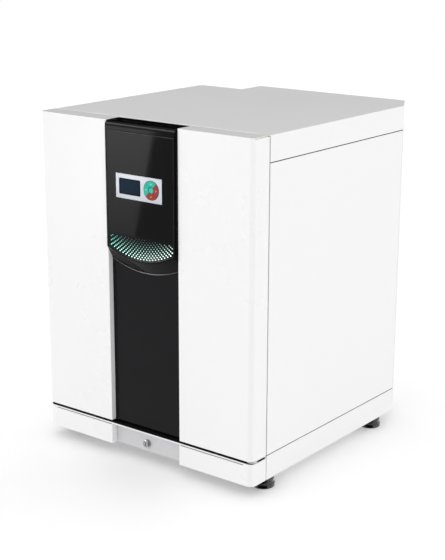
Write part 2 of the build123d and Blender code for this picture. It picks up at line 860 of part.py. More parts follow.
# Black cap on the plinth and black trim under the door, both slotted for the lock's cam
for level, name in ((z_plinth, "plinth_cap"), (z_trim, "door_bottom_trim")):
    with BuildPart() as cap:
        with BuildSketch(Plane.XY.offset(level)) as plan:
            front_profile(plan, trim_inset, y_door_back - trim_inset)
            span(slot_low, slot_high, Mode.SUBTRACT)
            if name == "door_bottom_trim":
                channel_cut(trim_inset)
                with Locations((hinge_x, hinge_y)):
                    Circle(bush_radius + part_gap, mode=Mode.SUBTRACT)
        extrude(amount=cap_height)
    write(cap, name)

# Lock: the fixed barrel, the turning plug with its key slot, and the cam on the plug's end
with BuildPart() as lock_body:
    with BuildSketch(facing(lock_reach)):
        with Locations((lock_shift, lock_z)):
            Circle(lock_radius)
    extrude(amount=lock_length)
    chamfer(lock_body.edges().sort_by(Axis.Y)[0], lock_chamfer)
    with BuildSketch(facing(y_recess + recess_panel + lock_nut_depth)):
        with Locations((lock_shift, lock_z)):
            RegularPolygon(lock_nut, 6)
    extrude(amount=lock_nut_depth)
    with BuildSketch(facing(lock_reach)):
        with Locations((lock_shift, lock_z)):
            Circle(lock_plug_radius + pin_clearance)
    extrude(amount=lock_length, mode=Mode.SUBTRACT)
write(lock_body, "lock_body")

with BuildPart() as lock_plug:
    with BuildSketch(facing(y_cam)):
        with Locations((lock_shift, lock_z)):
            Circle(lock_plug_radius)
    extrude(amount=lock_length + part_gap)
    with BuildSketch(facing(lock_face + lock_radius)):
        with Locations((lock_shift, lock_z)):
            Rectangle(key_slot, key_slot_height)
    extrude(amount=lock_radius, mode=Mode.SUBTRACT)
write(lock_plug, "lock_plug")

with BuildPart() as lock_cam:
    with BuildSketch(facing(y_cam + cam_thickness)):
        with Locations((lock_shift, lock_z)):
            Circle(cam_hub)
        span((lock_shift - cam_length, lock_z - cam_width / 2), (lock_shift, lock_z + cam_width / 2))
    extrude(amount=cam_thickness)
    fillet(lock_cam.edges().filter_by(Axis.Y).group_by(Axis.X)[0], cam_rounding)
write(lock_cam, "lock_cam")

# Hinge plates: each a disc round the pin with an arm back to the cabinet
with BuildPart() as hinge_plates:
    with BuildSketch(Plane.XY.offset(z_cap)):
        with Locations((hinge_x, hinge_y)):
            Circle(hinge_disc)
        span((hinge_x - hinge_arm / 2, hinge_y), (hinge_x + hinge_arm / 2, y_front))
    extrude(amount=lower_plate)
    with BuildSketch(facing(y_front)):
        span((hinge_x - hinge_arm / 2, z_cap - lower_flange), (hinge_x + hinge_arm / 2, z_cap))
    extrude(amount=hinge_plate)
    with BuildSketch(Plane.XY.offset(z_cap)):
        with Locations((hinge_x, hinge_y)):
            Circle(pin_radius)
    extrude(amount=z_trim + pin_length - z_cap)
    with BuildSketch(Plane.XY.offset(z_top - hinge_plate)):
        with Locations((hinge_x, hinge_y)):
            Circle(hinge_disc)
        span((hinge_x - hinge_arm / 2, hinge_y), (hinge_x + hinge_arm / 2, y_frame_back))
    extrude(amount=hinge_plate)
    with BuildSketch(Plane.XY.offset(z_tail - hinge_plate)):
        span((hinge_x - hinge_arm / 2, y_front), (hinge_x + hinge_arm / 2, y_frame_back + upper_tail))
    extrude(amount=hinge_plate)
    with BuildSketch(Plane.XY.offset(z_top - hinge_plate)):
        with Locations((hinge_x, hinge_y)):
            Circle(pin_radius)
    extrude(amount=-pin_length - hinge_gap)
write(hinge_plates, "hinge_plates")

# Hinge bushes: plain bearings in the door's lower and upper end
bush_low = z_trim
bush_top = z_top - hinge_plate - hinge_gap
with BuildPart() as hinge_bushes:
    for level in (bush_low, bush_top - bush_length):
        with BuildSketch(Plane.XY.offset(level)):
            with Locations((hinge_x, hinge_y)):
                Circle(bush_radius)
                Circle(pin_radius + pin_clearance, mode=Mode.SUBTRACT)
        extrude(amount=bush_length)
write(hinge_bushes, "hinge_bushes")

# Door shell: a white skin bent round both front corners, with a channel down its middle
cam_pocket = cam_length - (z_door - lock_z) + 2 * cam_room
swing_low = (hinge_x - hinge_arm / 2 - hinge_gap, hinge_y - hinge_disc - hinge_gap)
upper_pocket = hinge_plate + hinge_gap
with BuildPart() as door_shell:
    with BuildSketch(Plane.XY.offset(z_door)) as outside:
        front_profile(outside, 0, y_door_back)
        channel_cut(0)
    extrude(amount=z_top - z_door)
    fillet(door_shell.edges().filter_by(Axis.Z).filter_by(
        lambda e: abs(e.center().Y - y_face) < 0.1 and abs(abs(e.center().X) - channel_half) < 0.1), door_edge_radius)
    with BuildSketch(Plane.XY.offset(z_door + door_skin)) as inside:
        front_profile(inside, door_skin, y_door_back + 1)
        channel_cut(door_skin)
    extrude(amount=z_top - z_door - 2 * door_skin, mode=Mode.SUBTRACT)
    with BuildSketch(Plane.XY.offset(z_top)):
        span((-channel_half, y_face), (channel_half, y_face + cover_wrap))
        with Locations((hinge_x, hinge_y)):
            Circle(hinge_disc + hinge_gap)
        span(swing_low, (half_width, y_door_back))
    extrude(amount=-door_skin - hinge_gap, mode=Mode.SUBTRACT)
    with BuildSketch(Plane.XY.offset(z_door)):
        span(slot_low, slot_high)
        with Locations((hinge_x, hinge_y)):
            Circle(bush_radius + part_gap)
    extrude(amount=door_skin, mode=Mode.SUBTRACT)
write(door_shell, "door_shell")

# Door liner: the inner panel with a hollow raised field that enters the chamber's mouth
plug_half = chamber_half - plug_gap
plug_low = z_chamber + plug_gap
plug_high = z_ceiling - plug_gap
seal_out = gasket_inset + gasket_width
with BuildPart() as door_liner:
    with BuildSketch(facing(y_door_back)):
        side = half_width - door_skin - part_gap
        span((-side, z_door + door_skin + part_gap), (side, z_top - door_skin - 2 * part_gap - hinge_gap))
    extrude(amount=liner_plate)
    with BuildSketch(facing(y_door_back + plug_depth)):
        span((-plug_half, plug_low), (plug_half, plug_high))
    extrude(amount=plug_depth)
    chamfer(door_liner.faces().sort_by(Axis.Y)[-1].edges(), plug_chamfer)
    with BuildSketch(facing(y_door_back + plug_depth - plug_wall)):
        inner = plug_half - plug_chamfer - plug_wall
        edge = plug_chamfer + plug_wall
        span((-inner, plug_low + edge), (inner, plug_high - edge))
    extrude(amount=plug_depth - plug_wall + liner_plate, mode=Mode.SUBTRACT)
    with BuildSketch(facing(y_door_back)):
        span((-chamber_half - seal_out, z_chamber - seal_out), (chamber_half + seal_out, z_ceiling + seal_out))
        span((-chamber_half - gasket_inset, z_chamber - gasket_inset),
             (chamber_half + gasket_inset, z_ceiling + gasket_inset), Mode.SUBTRACT)
    extrude(amount=gasket_groove, mode=Mode.SUBTRACT)
write(door_liner, "door_liner")

# Door gasket: a soft ring in the liner's groove that closes against the front frame
with BuildPart() as door_gasket:
    with BuildSketch(facing(y_front - gasket_gap)):
        out = seal_out - part_gap
        inn = gasket_inset + part_gap
        span((-chamber_half - out, z_chamber - out), (chamber_half + out, z_ceiling + out))
        span((-chamber_half - inn, z_chamber - inn), (chamber_half + inn, z_ceiling + inn), Mode.SUBTRACT)
    extrude(amount=door_gap - gasket_gap + gasket_groove)
    fillet(door_gasket.faces().sort_by(Axis.Y)[-1].edges(), gasket_rounding)
write(door_gasket, "door_gasket")

# Door core: the foam between the shell and the liner
with BuildPart() as door_core:
    with BuildSketch(Plane.XY.offset(z_door + door_skin)) as plan:
        front_profile(plan, door_skin, y_door_back - liner_plate)
        channel_cut(door_skin)
    extrude(amount=z_top - z_door - 2 * door_skin)
    with BuildSketch(facing(y_door_back + plug_depth - plug_wall)):
        span((-inner, plug_low + edge), (inner, plug_high - edge))
    extrude(amount=plug_depth - plug_wall + liner_plate)
    with BuildSketch(Plane.XY.offset(z_door)):
        span(slot_low, slot_high)
    extrude(amount=cam_pocket, mode=Mode.SUBTRACT)
    with BuildSketch(Plane.XY.offset(z_door)):
        with Locations((hinge_x, hinge_y)):
            Circle(bush_radius + part_gap)
    extrude(amount=bush_length - cap_height + part_gap, mode=Mode.SUBTRACT)
    with BuildSketch(Plane.XY.offset(z_top)):
        with Locations((hinge_x, hinge_y)):
            Circle(hinge_disc + hinge_gap)
        span(swing_low, (half_width, y_door_back))
    extrude(amount=-upper_pocket, mode=Mode.SUBTRACT)
    with BuildSketch(Plane.XY.offset(z_top)):
        with Locations((hinge_x, hinge_y)):
            Circle(bush_radius + part_gap)
    extrude(amount=-upper_pocket - bush_length - part_gap, mode=Mode.SUBTRACT)
write(door_core, "door_core")

# Black panel: the carrier at the bottom of the channel, seen below the cover
with BuildPart() as black_panel:
    with BuildSketch(facing(y_channel)):
        side = channel_half - part_gap
        span((-side, z_door + black_panel_lift), (side, z_top - cover_wall - part_gap))
    extrude(amount=black_panel_thickness)
write(black_panel, "black_panel")


def lip(raised, far):
    """Makes the solid below the cover's arched lip, which slopes from the front face back to the panel."""
    front_level = z_top - cover_side_drop + raised
    back_level = front_level - lip_drop
    with BuildPart() as below:
        with BuildSketch(facing(y_cover)):
            lip_face(far, front_level, cover_sag)
        with BuildSketch(facing(y_black_panel)):
            lip_face(far, back_level, lip_sag)
        loft(ruled=True)
    return below.part


def lip_face(half, level, sag):
    """Draws the face under one of the lip's two arcs."""
    floor = z_top - cover_side_drop - 3 * cover_sag
    with BuildLine() as edge:
        Polyline((-half, level), (-half, floor), (half, floor), (half, level))
        ThreePointArc((half, level), (0, level - sag), (-half, level))
    make_face(edge.edges())


def cover_section(inset):
    """Draws the cover's side section: a tall front with a bullnose and a wrap over the door's top."""
    front = y_cover + inset
    top = z_top - inset
    low = z_top - cover_side_drop - 2.5 * cover_sag
    radius = bullnose - inset
    middle = radius * (1 - math.sqrt(0.5))
    with BuildLine() as edge:
        Polyline((front, top - radius), (front, low), (y_black_panel, low), (y_black_panel, top), (front + radius, top))
        ThreePointArc((front, top - radius), (front + middle, top - middle), (front + radius, top))
    make_face(edge.edges())


# Upper cover: a hollow moulding with a bullnose, bevelled sides and an arched lower lip
window_top = z_top - panel_drop
grille_top = z_top - cover_side_drop + grille_height - cover_margin
window_half = channel_half - cover_margin
with BuildPart() as cover_hollow:
    with BuildSketch(Plane.YZ.offset(-channel_half + cover_wall)):
        cover_section(cover_wall)
    extrude(amount=channel_width - 2 * cover_wall)
    add(lip(2 * cover_wall, channel_half), mode=Mode.SUBTRACT)
with BuildPart() as upper_cover:
    with BuildSketch(Plane.YZ.offset(-channel_half + part_gap)):
        cover_section(0)
    extrude(amount=channel_width - 2 * part_gap)
    for end in (-1, 1):
        rim = upper_cover.faces().sort_by(Axis.X)[0 if end < 0 else -1].edges().filter_by(
            lambda e: e.center().Y < y_black_panel - 1 and e.center().Z > z_top - cover_side_drop - cover_sag)
        chamfer(rim, cover_chamfer)
    add(lip(0, channel_half + 1), mode=Mode.SUBTRACT)
    add(cover_hollow.part, mode=Mode.SUBTRACT)
    with BuildSketch(facing(y_cover + cover_wall)):
        arched(window_half, z_top - cover_side_drop + lip_margin, cover_sag, window_top)
    extrude(amount=cover_wall, mode=Mode.SUBTRACT)
    with BuildSketch(Plane.XY.offset(z_top)):
        side = channel_half - part_gap
        span((-side, y_black_panel - 1), (side, y_face + cover_wrap - part_gap))
    extrude(amount=-door_skin)
write(upper_cover, "upper_cover")

# Control panel: the glossy plate in the cover, with a seat for the display plate and posts for the board
plate_x = plate_shift
plate_z = z_top - plate_drop - plate_height / 2
keypad_x = plate_x + plate_width / 2 - keypad_inset
screen_x = plate_x - plate_width / 2 + screen_inset + screen_width / 2
y_plate = y_cover - plate_proud
y_board = y_cover + board_depth
board_width = plate_width + 2 * board_border
with BuildPart() as control_panel:
    with BuildSketch(facing(y_cover + panel_thickness)):
        side = window_half - part_gap
        span((-side, grille_top + part_gap), (side, window_top - part_gap))
        with Locations((plate_x, plate_z)):
            Rectangle(plate_width - 2 * plate_seat, plate_height - 2 * plate_seat, mode=Mode.SUBTRACT)
    extrude(amount=panel_thickness)
    with BuildSketch(facing(y_cover + plate_thickness - plate_proud)):
        with Locations((plate_x, plate_z)):
            Rectangle(plate_width + 2 * part_gap, plate_height + 2 * part_gap)
    extrude(amount=plate_thickness, mode=Mode.SUBTRACT)
    with BuildSketch(facing(y_board)):
        with Locations((plate_x, plate_z)):
            with GridLocations(plate_width + board_border, plate_height + board_border, 2, 2):
                RegularPolygon(standoff_radius, 6)
    extrude(amount=board_depth - panel_thickness)
write(control_panel, "control_panel")

# Light grille: the lower field of the cover, with staggered rows of small holes that follow its arc
grille_side = z_top - cover_side_drop + lip_margin + part_gap
hole_edge = grille_margin + hole_radius
row_count = int((grille_top - grille_side + cover_sag - 2 * hole_edge) / hole_row) + 1
columns = int((window_half - hole_edge) / hole_pitch)
hole_places = []
for row in range(row_count):
    for column in range(-columns, columns + 1):
        x = (column + 0.5 * (row % 2)) * hole_pitch
        arc_level = grille_side - cover_sag * (1 - (x / window_half) ** 2)
        z = arc_level + hole_edge + row * hole_row
        if abs(x) < window_half - hole_edge and z < grille_top - hole_edge:
            hole_places.append((x, z))
with BuildPart() as light_grille:
    with BuildSketch(facing(y_cover + grille_thickness)):
        arched(window_half - part_gap, grille_side, cover_sag, grille_top)
        with Locations(*hole_places):
            RegularPolygon(hole_radius, 4, mode=Mode.SUBTRACT)
    extrude(amount=grille_thickness)
write(light_grille, "light_grille")

with BuildPart() as light_diffuser:
    with BuildSketch(facing(y_cover + grille_thickness + diffuser_gap + diffuser_thickness)):
        arched(window_half - 2 * cover_wall, grille_side + 2 * cover_wall, cover_sag, grille_top - 2 * part_gap)
    extrude(amount=diffuser_thickness)
write(light_diffuser, "light_diffuser")

# Display plate with the screen's window and the keypad's round hole
with BuildPart() as display_plate:
    with BuildSketch(facing(y_plate + plate_thickness)):
        with Locations((plate_x, plate_z)):
            Rectangle(plate_width, plate_height)
        with Locations((screen_x, plate_z)):
            RectangleRounded(screen_width, screen_height, screen_radius, mode=Mode.SUBTRACT)
        with Locations((keypad_x, plate_z)):
            Circle(keypad_radius, mode=Mode.SUBTRACT)
    extrude(amount=plate_thickness)
    chamfer(display_plate.faces().sort_by(Axis.Y)[0].outer_wire().edges(), plate_chamfer)
write(display_plate, "display_plate")

with BuildPart() as display_screen:
    with BuildSketch(facing(y_board)):
        with Locations((screen_x, plate_z)):
            RectangleRounded(screen_width - 2 * part_gap, screen_height - 2 * part_gap, screen_radius - part_gap)
    extrude(amount=y_board - y_plate - screen_sunk)
write(display_screen, "display_screen")

with BuildPart() as controller_board:
    with BuildSketch(facing(y_board + board_thickness)):
        with Locations((plate_x, plate_z)):
            Rectangle(board_width, plate_height + 2 * board_border)
    extrude(amount=board_thickness)
write(controller_board, "controller_board")

# Keypad: four ring segments and a centre button, each with a plunger towards the board
key_back = y_plate - key_proud + key_thickness
plunger = y_board - key_travel - part_gap - key_back
ring_middle = (ring_inner + keypad_radius) / 2


def quarter(turn):
    """Lists the corners of one quarter of the keypad, centred on a direction in degrees."""
    along = Vector(math.cos(math.radians(turn)), math.sin(math.radians(turn)))
    across = Vector(-along.Y, along.X)
    tip = Vector(keypad_x, plate_z) + along * (key_split / math.sqrt(2))
    reach = 2 * keypad_radius
    return [tip, tip + (along - across) * reach, tip + (along + across) * reach]


for turn, name in ((90, "key_up"), (180, "key_left"), (270, "key_down"), (0, "key_right")):
    with BuildPart() as key:
        with BuildSketch(facing(key_back)):
            with Locations((keypad_x, plate_z)):
                Circle(keypad_radius - keypad_gap)
                Circle(ring_inner, mode=Mode.SUBTRACT)
            Polygon(*quarter(turn), align=None, mode=Mode.INTERSECT)
        extrude(amount=key_thickness)
        with BuildSketch(facing(key_back + plunger)):
            place = (keypad_x + ring_middle * math.cos(math.radians(turn)),
                     plate_z + ring_middle * math.sin(math.radians(turn)))
            with Locations(place):
                Circle(plunger_radius)
        extrude(amount=plunger)
    write(key, name)

with BuildPart() as key_centre:
    with BuildSketch(facing(key_back)):
        with Locations((keypad_x, plate_z)):
            Circle(centre_radius)
    extrude(amount=key_thickness)
    chamfer(key_centre.edges().sort_by(Axis.Y)[0], key_chamfer)
    with BuildSketch(facing(key_back + plunger)):
        with Locations((keypad_x, plate_z)):
            Circle(plunger_radius)
    extrude(amount=plunger)
write(key_centre, "key_centre")

# Levelling feet: round pads on threaded stems
for (x, y), name in zip(foot_places, ("foot_front_left", "foot_front_right", "foot_rear_left", "foot_rear_right")):
    with BuildPart() as foot:
        with BuildSketch(Plane.XY):
            with Locations((x, y)):
                Circle(foot_radius)
        extrude(amount=foot_pad)
        chamfer(foot.edges().sort_by(Axis.Z)[0], foot_chamfer)
        with BuildSketch(Plane.XY.offset(foot_pad)):
            with Locations((x, y)):
                Circle(stem_radius)
        extrude(amount=stem_length)
    write(foot, name)
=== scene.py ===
"""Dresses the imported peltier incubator: finishes, detail pieces, camera, floor and light."""

from __future__ import annotations

import logging
import math
from dataclasses import dataclass
from enum import Enum

import bmesh
import bpy
from mathutils import Matrix, Vector

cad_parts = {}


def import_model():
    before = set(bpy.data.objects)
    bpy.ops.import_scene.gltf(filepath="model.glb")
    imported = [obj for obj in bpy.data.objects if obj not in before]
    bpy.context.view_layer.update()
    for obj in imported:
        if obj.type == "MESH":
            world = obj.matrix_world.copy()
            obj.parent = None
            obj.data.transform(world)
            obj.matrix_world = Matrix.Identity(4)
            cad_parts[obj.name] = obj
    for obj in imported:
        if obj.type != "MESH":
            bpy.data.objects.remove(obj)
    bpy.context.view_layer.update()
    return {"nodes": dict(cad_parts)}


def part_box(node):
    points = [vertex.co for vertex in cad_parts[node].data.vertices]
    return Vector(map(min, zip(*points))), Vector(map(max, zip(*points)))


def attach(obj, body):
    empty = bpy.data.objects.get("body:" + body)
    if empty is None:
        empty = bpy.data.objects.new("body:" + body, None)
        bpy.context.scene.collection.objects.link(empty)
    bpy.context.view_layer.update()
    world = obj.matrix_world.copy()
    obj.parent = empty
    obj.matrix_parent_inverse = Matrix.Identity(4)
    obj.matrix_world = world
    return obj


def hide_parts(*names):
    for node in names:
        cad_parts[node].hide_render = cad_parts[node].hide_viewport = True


log = logging.getLogger("incubator")

MM = 0.001
WHITE = (1.0, 1.0, 1.0, 1.0)
SHARP_ANGLE = math.radians(32)
DRAWN = 0.02
"""How far a brushed texture is stretched: its frequency along the brushing."""

Colour = tuple[float, float, float]
Point = tuple[float, float]
Ring = list[bmesh.types.BMVert]


class Axis(Enum):
    """The direction of a metal's brushing."""

    X = (DRAWN, 1.0, 1.0)
    Y = (1.0, DRAWN, 1.0)
    Z = (1.0, 1.0, DRAWN)


class Effect(Enum):
    """The shared node groups, by name."""

    PEEL = "PaintPeel"
    MOTTLE = "Mottle"
    BRUSHED = "Brushed"
    GRAIN = "MouldedGrain"
    GLOW = "GlowField"


class Graph:
    """A thin wrapper that adds and links nodes in one node tree."""

    def __init__(self, tree: bpy.types.NodeTree) -> None:
        self.tree = tree

    def fill(self, node: bpy.types.Node, inputs: dict[str, object]) -> bpy.types.Node:
        """Feeds several inputs of a node.

        Args:
            node: the node that owns the inputs.
            inputs: values or sockets, by input name; underscores stand for spaces.

        Returns:
            The same node.
        """
        for name, value in inputs.items():
            self.feed(node, name.replace("_", " "), value)
        return node

    def add(self, kind: str, **inputs: object) -> bpy.types.Node:
        """Adds a node and sets its inputs.

        Args:
            kind: the node's bl_idname.
            inputs: values or sockets, by input name.

        Returns:
            The new node.
        """
        return self.fill(self.tree.nodes.new(kind), inputs)

    def feed(self, node: bpy.types.Node, name: str | int, value: object) -> None:
        """Links a socket to an input, or sets the input's value.

        Args:
            node: the node that owns the input.
            name: the input's name or number.
            value: an output socket or a plain value.
        """
        if isinstance(value, bpy.types.NodeSocket):
            self.tree.links.new(value, node.inputs[name])
        else:
            node.inputs[name].default_value = value

    def place(self) -> bpy.types.NodeSocket:
        """Adds a Texture Coordinate node.

        Returns:
            The object coordinates' socket.
        """
        return self.add("ShaderNodeTexCoord").outputs["Object"]

    def math(self, operation: str, first: object, second: object = 0.0) -> bpy.types.NodeSocket:
        """Adds a Math node.

        Args:
            operation: the node's operation.
            first: the first value or socket.
            second: the second value or socket.

        Returns:
            The result's socket.
        """
        node = self.tree.nodes.new("ShaderNodeMath")
        node.operation = operation
        self.feed(node, 0, first)
        self.feed(node, 1, second)
        return node.outputs[0]

    def blend(self, factor: object, low: Colour, high: Colour) -> bpy.types.NodeSocket:
        """Mixes two colours.

        Args:
            factor: the share of the second colour.
            low: the first colour.
            high: the second colour.

        Returns:
            The mixed colour's socket.
        """
        node = self.tree.nodes.new("ShaderNodeMix")
        node.data_type = "RGBA"
        self.feed(node, 0, factor)
        self.feed(node, 6, (*low, 1.0))
        self.feed(node, 7, (*high, 1.0))
        return node.outputs[2]

    def effect(self, effect: Effect, **inputs: object) -> bpy.types.Node:
        """Adds one of the shared node groups.

        Args:
            effect: the group to add.
            inputs: values or sockets for the group's inputs.

        Returns:
            The group node.
        """
        node = self.tree.nodes.new("ShaderNodeGroup")
        node.node_tree = bpy.data.node_groups[effect.value]
        return self.fill(node, inputs)


Entry = dict[str, bpy.types.NodeSocket]
Exit = dict[str, tuple[bpy.types.Node, str]]


def new_group(
    effect: Effect, inputs: dict[str, object], outputs: dict[str, str]
) -> tuple[Graph, Entry, Exit]:
    """Starts a shader node group with its sockets.

    Args:
        effect: which group to make.
        inputs: default values of the float or vector inputs, by name.
        outputs: socket types of the outputs, by name.

    Returns:
        The group's graph, its input sockets and the inputs of its output node.
    """
    tree = bpy.data.node_groups.new(effect.value, "ShaderNodeTree")
    for name, value in inputs.items():
        kind = "NodeSocketFloat" if isinstance(value, float) else "NodeSocketVector"
        socket = tree.interface.new_socket(name, in_out="INPUT", socket_type=kind)
        socket.default_value = value
    for name, kind in outputs.items():
        tree.interface.new_socket(name, in_out="OUTPUT", socket_type=kind)
    entry = tree.nodes.new("NodeGroupInput")
    leave = tree.nodes.new("NodeGroupOutput")
    enter = {socket.name: socket for socket in entry.outputs}
    return Graph(tree), enter, {socket.name: (leave, socket.name) for socket in leave.inputs}


def rounded_bump(
    graph: Graph, enter: Entry, height: bpy.types.NodeSocket, distance: float
) -> bpy.types.NodeSocket:
    """Adds a bump over rounded edges, ruled by a group's inputs Depth and Edge.

    Args:
        graph: the group's graph.
        enter: the group's input sockets.
        height: the field that the bump follows.
        distance: the bump's height in metres.

    Returns:
        The normal's socket.
    """
    edge = graph.add("ShaderNodeBevel", Radius=enter["Edge"])
    bump = graph.add(
        "ShaderNodeBump", Strength=enter["Depth"], Distance=distance, Height=height)
    graph.feed(bump, "Normal", edge.outputs[0])
    return bump.outputs[0]


def make_peel() -> None:
    """Builds the faint orange peel of paint, which also serves polished mouldings."""
    graph, enter, leave = new_group(
        Effect.PEEL,
        {"Scale": 900.0, "Depth": 0.02, "Edge": 0.6 * MM},
        {"Normal": "NodeSocketVector"},
    )
    skin = graph.add(
        "ShaderNodeTexNoise", Vector=graph.place(), Scale=enter["Scale"], Detail=2.0)
    graph.feed(*leave["Normal"], rounded_bump(graph, enter, skin.outputs["Fac"], 0.5 * MM))


def make_mottle() -> None:
    """Builds soft patches: a value between two limits, and the same patches as a mask."""
    graph, enter, leave = new_group(
        Effect.MOTTLE,
        {"Scale": 6.0, "Low": 0.3, "High": 0.4},
        {"Value": "NodeSocketFloat", "Mask": "NodeSocketFloat"},
    )
    cloud = graph.add(
        "ShaderNodeTexNoise",
        Vector=graph.place(), Scale=enter["Scale"], Detail=5.0, Roughness=0.6)
    spread = graph.add(
        "ShaderNodeMapRange", Value=cloud.outputs["Fac"],
        From_Min=0.3, From_Max=0.7, To_Min=enter["Low"], To_Max=enter["High"])
    graph.feed(*leave["Value"], spread.outputs[0])
    graph.feed(*leave["Mask"], cloud.outputs["Fac"])


def make_brushed() -> None:
    """Builds the lines of brushed metal."""
    graph, enter, leave = new_group(
        Effect.BRUSHED,
        {"Stretch": (1.0, 1.0, 1.0), "Scale": 700.0, "Depth": 0.08},
        {"Mask": "NodeSocketFloat", "Normal": "NodeSocketVector"},
    )
    pulled = graph.add("ShaderNodeVectorMath")
    pulled.operation = "MULTIPLY"
    graph.feed(pulled, 0, graph.place())
    graph.feed(pulled, 1, enter["Stretch"])
    lines = graph.add(
        "ShaderNodeTexNoise", Vector=pulled.outputs[0], Scale=enter["Scale"], Detail=3.0)
    bump = graph.add(
        "ShaderNodeBump",
        Strength=enter["Depth"], Distance=0.2 * MM, Height=lines.outputs["Fac"])
    graph.feed(*leave["Mask"], lines.outputs["Fac"])
    graph.feed(*leave["Normal"], bump.outputs[0])


def make_grain() -> None:
    """Builds the fine cells of a moulded grain."""
    graph, enter, leave = new_group(
        Effect.GRAIN,
        {"Scale": 1600.0, "Depth": 0.15, "Edge": 0.4 * MM},
        {"Mask": "NodeSocketFloat", "Normal": "NodeSocketVector"},
    )
    cells = graph.add("ShaderNodeTexVoronoi", Vector=graph.place(), Scale=enter["Scale"])
    height = cells.outputs["Distance"]
    graph.feed(*leave["Mask"], height)
    graph.feed(*leave["Normal"], rounded_bump(graph, enter, height, 0.3 * MM))


def make_glow_field() -> None:
    """Builds the lamp's field: full along the grille's lower arc, fading upwards.

    The inputs are lengths in metres: the arc's lowest level, its rise to the sides, half its
    width, and the height over which the light fades. Side runs from 1 at the left to 0.
    """
    graph, enter, leave = new_group(
        Effect.GLOW,
        {"Middle": 0.468, "Rise": 0.025, "Half": 0.0908, "Fade": 0.042},
        {"Mask": "NodeSocketFloat", "Side": "NodeSocketFloat"},
    )
    steepness = 1.6
    parts = graph.add("ShaderNodeSeparateXYZ", Vector=graph.place())
    across = graph.math("DIVIDE", parts.outputs["X"], enter["Half"])
    bow = graph.math("MULTIPLY", graph.math("MULTIPLY", across, across), enter["Rise"])
    level = graph.math("ADD", enter["Middle"], bow)
    above = graph.math("DIVIDE", graph.math("SUBTRACT", parts.outputs["Z"], level), enter["Fade"])
    left = graph.math("SUBTRACT", 0.5, graph.math("MULTIPLY", across, 0.5))
    fall = graph.add("ShaderNodeClamp", Value=graph.math("SUBTRACT", 1.0, above))
    graph.feed(*leave["Mask"], graph.math("POWER", fall.outputs[0], steepness))
    graph.feed(*leave["Side"], left)


def blank(name: str) -> tuple[bpy.types.Material, Graph, bpy.types.Node]:
    """Makes a material that holds one Principled shader.

    Args:
        name: the finish's name, which the material's name starts with.

    Returns:
        The material, its graph and the shader node.
    """
    material = bpy.data.materials.new(f"{name}_look")
    material.use_nodes = True
    shader = next(n for n in material.node_tree.nodes if n.type == "BSDF_PRINCIPLED")
    return material, Graph(material.node_tree), shader


def shifted(colour: Colour, gain: float, lift: float = 0.0) -> Colour:
    """Makes a slightly lighter or darker colour.

    Args:
        colour: the colour to start from.
        gain: what every channel is multiplied by.
        lift: what is then added to every channel.

    Returns:
        The new colour.
    """
    return tuple(channel * gain + lift for channel in colour)


@dataclass(frozen=True)
class Paint:
    """A sprayed or powder-coated skin with a faint peel, rounded edges and patches of tone."""

    name: str
    colour: Colour
    shade: float = 0.003
    roughness: float = 0.32
    spread: float = 0.02
    patches: float = 3.0
    peel: float = 0.01
    coat: float = 0.25
    coat_roughness: float = 0.10
    coat_ior: float = 1.5

    def build(self) -> bpy.types.Material:
        """Builds the material.

        Returns:
            The material.
        """
        material, graph, shader = blank(self.name)
        low, high = self.roughness - self.spread, self.roughness + self.spread
        patch = graph.effect(Effect.MOTTLE, Scale=self.patches, Low=low, High=high)
        darker = shifted(self.colour, 1.0 - self.shade)
        tone = graph.blend(patch.outputs["Mask"], self.colour, darker)
        skin = graph.effect(Effect.PEEL, Depth=self.peel)
        graph.fill(shader, {
            "Base Color": tone,
            "Roughness": patch.outputs["Value"],
            "Normal": skin.outputs["Normal"],
            "Coat Weight": self.coat,
            "Coat Roughness": self.coat_roughness,
            "Coat IOR": self.coat_ior,
        })
        return material


@dataclass(frozen=True)
class Gloss:
    """A polished moulding with faint wiping marks in its gloss."""

    name: str
    colour: Colour
    roughness: float = 0.06
    spread: float = 0.05
    wipes: float = 14.0
    gain: float = 1.25
    lift: float = 0.0006
    ripples: float = 60.0
    ripple_depth: float = 0.006
    ior: float = 1.3
    coat: float = 0.0
    coat_roughness: float = 0.03
    coat_ior: float = 1.7
    edge: float = 0.6 * MM

    def build(self) -> bpy.types.Material:
        """Builds the material.

        Returns:
            The material.
        """
        material, graph, shader = blank(self.name)
        high = self.roughness + self.spread
        wipe = graph.effect(Effect.MOTTLE, Scale=self.wipes, Low=self.roughness, High=high)
        lighter = shifted(self.colour, self.gain, self.lift)
        tone = graph.blend(wipe.outputs["Mask"], self.colour, lighter)
        skin = graph.effect(
            Effect.PEEL, Scale=self.ripples, Depth=self.ripple_depth, Edge=self.edge)
        graph.fill(shader, {
            "Base Color": tone,
            "Roughness": wipe.outputs["Value"],
            "Normal": skin.outputs["Normal"],
            "IOR": self.ior,
            "Coat Weight": self.coat,
            "Coat Roughness": self.coat_roughness,
            "Coat IOR": self.coat_ior,
        })
        return material


@dataclass(frozen=True)
class Moulded:
    """Plastic or rubber with a fine moulded grain."""

    name: str
    colour: Colour
    roughness: float = 0.5
    spread: float = 0.06
    patches: float = 20.0
    gain: float = 1.12
    lift: float = 0.001
    grain: float = 0.15
    scale: float = 1600.0
    ior: float = 1.45

    def build(self) -> bpy.types.Material:
        """Builds the material.

        Returns:
            The material.
        """
        material, graph, shader = blank(self.name)
        grain = graph.effect(Effect.GRAIN, Scale=self.scale, Depth=self.grain)
        low, high = self.roughness - self.spread, self.roughness + self.spread
        patch = graph.effect(Effect.MOTTLE, Scale=self.patches, Low=low, High=high)
        lighter = shifted(self.colour, self.gain, self.lift)
        tone = graph.blend(grain.outputs["Mask"], self.colour, lighter)
        graph.fill(shader, {
            "Base Color": tone,
            "Roughness": patch.outputs["Value"],
            "Normal": grain.outputs["Normal"],
            "IOR": self.ior,
        })
        return material


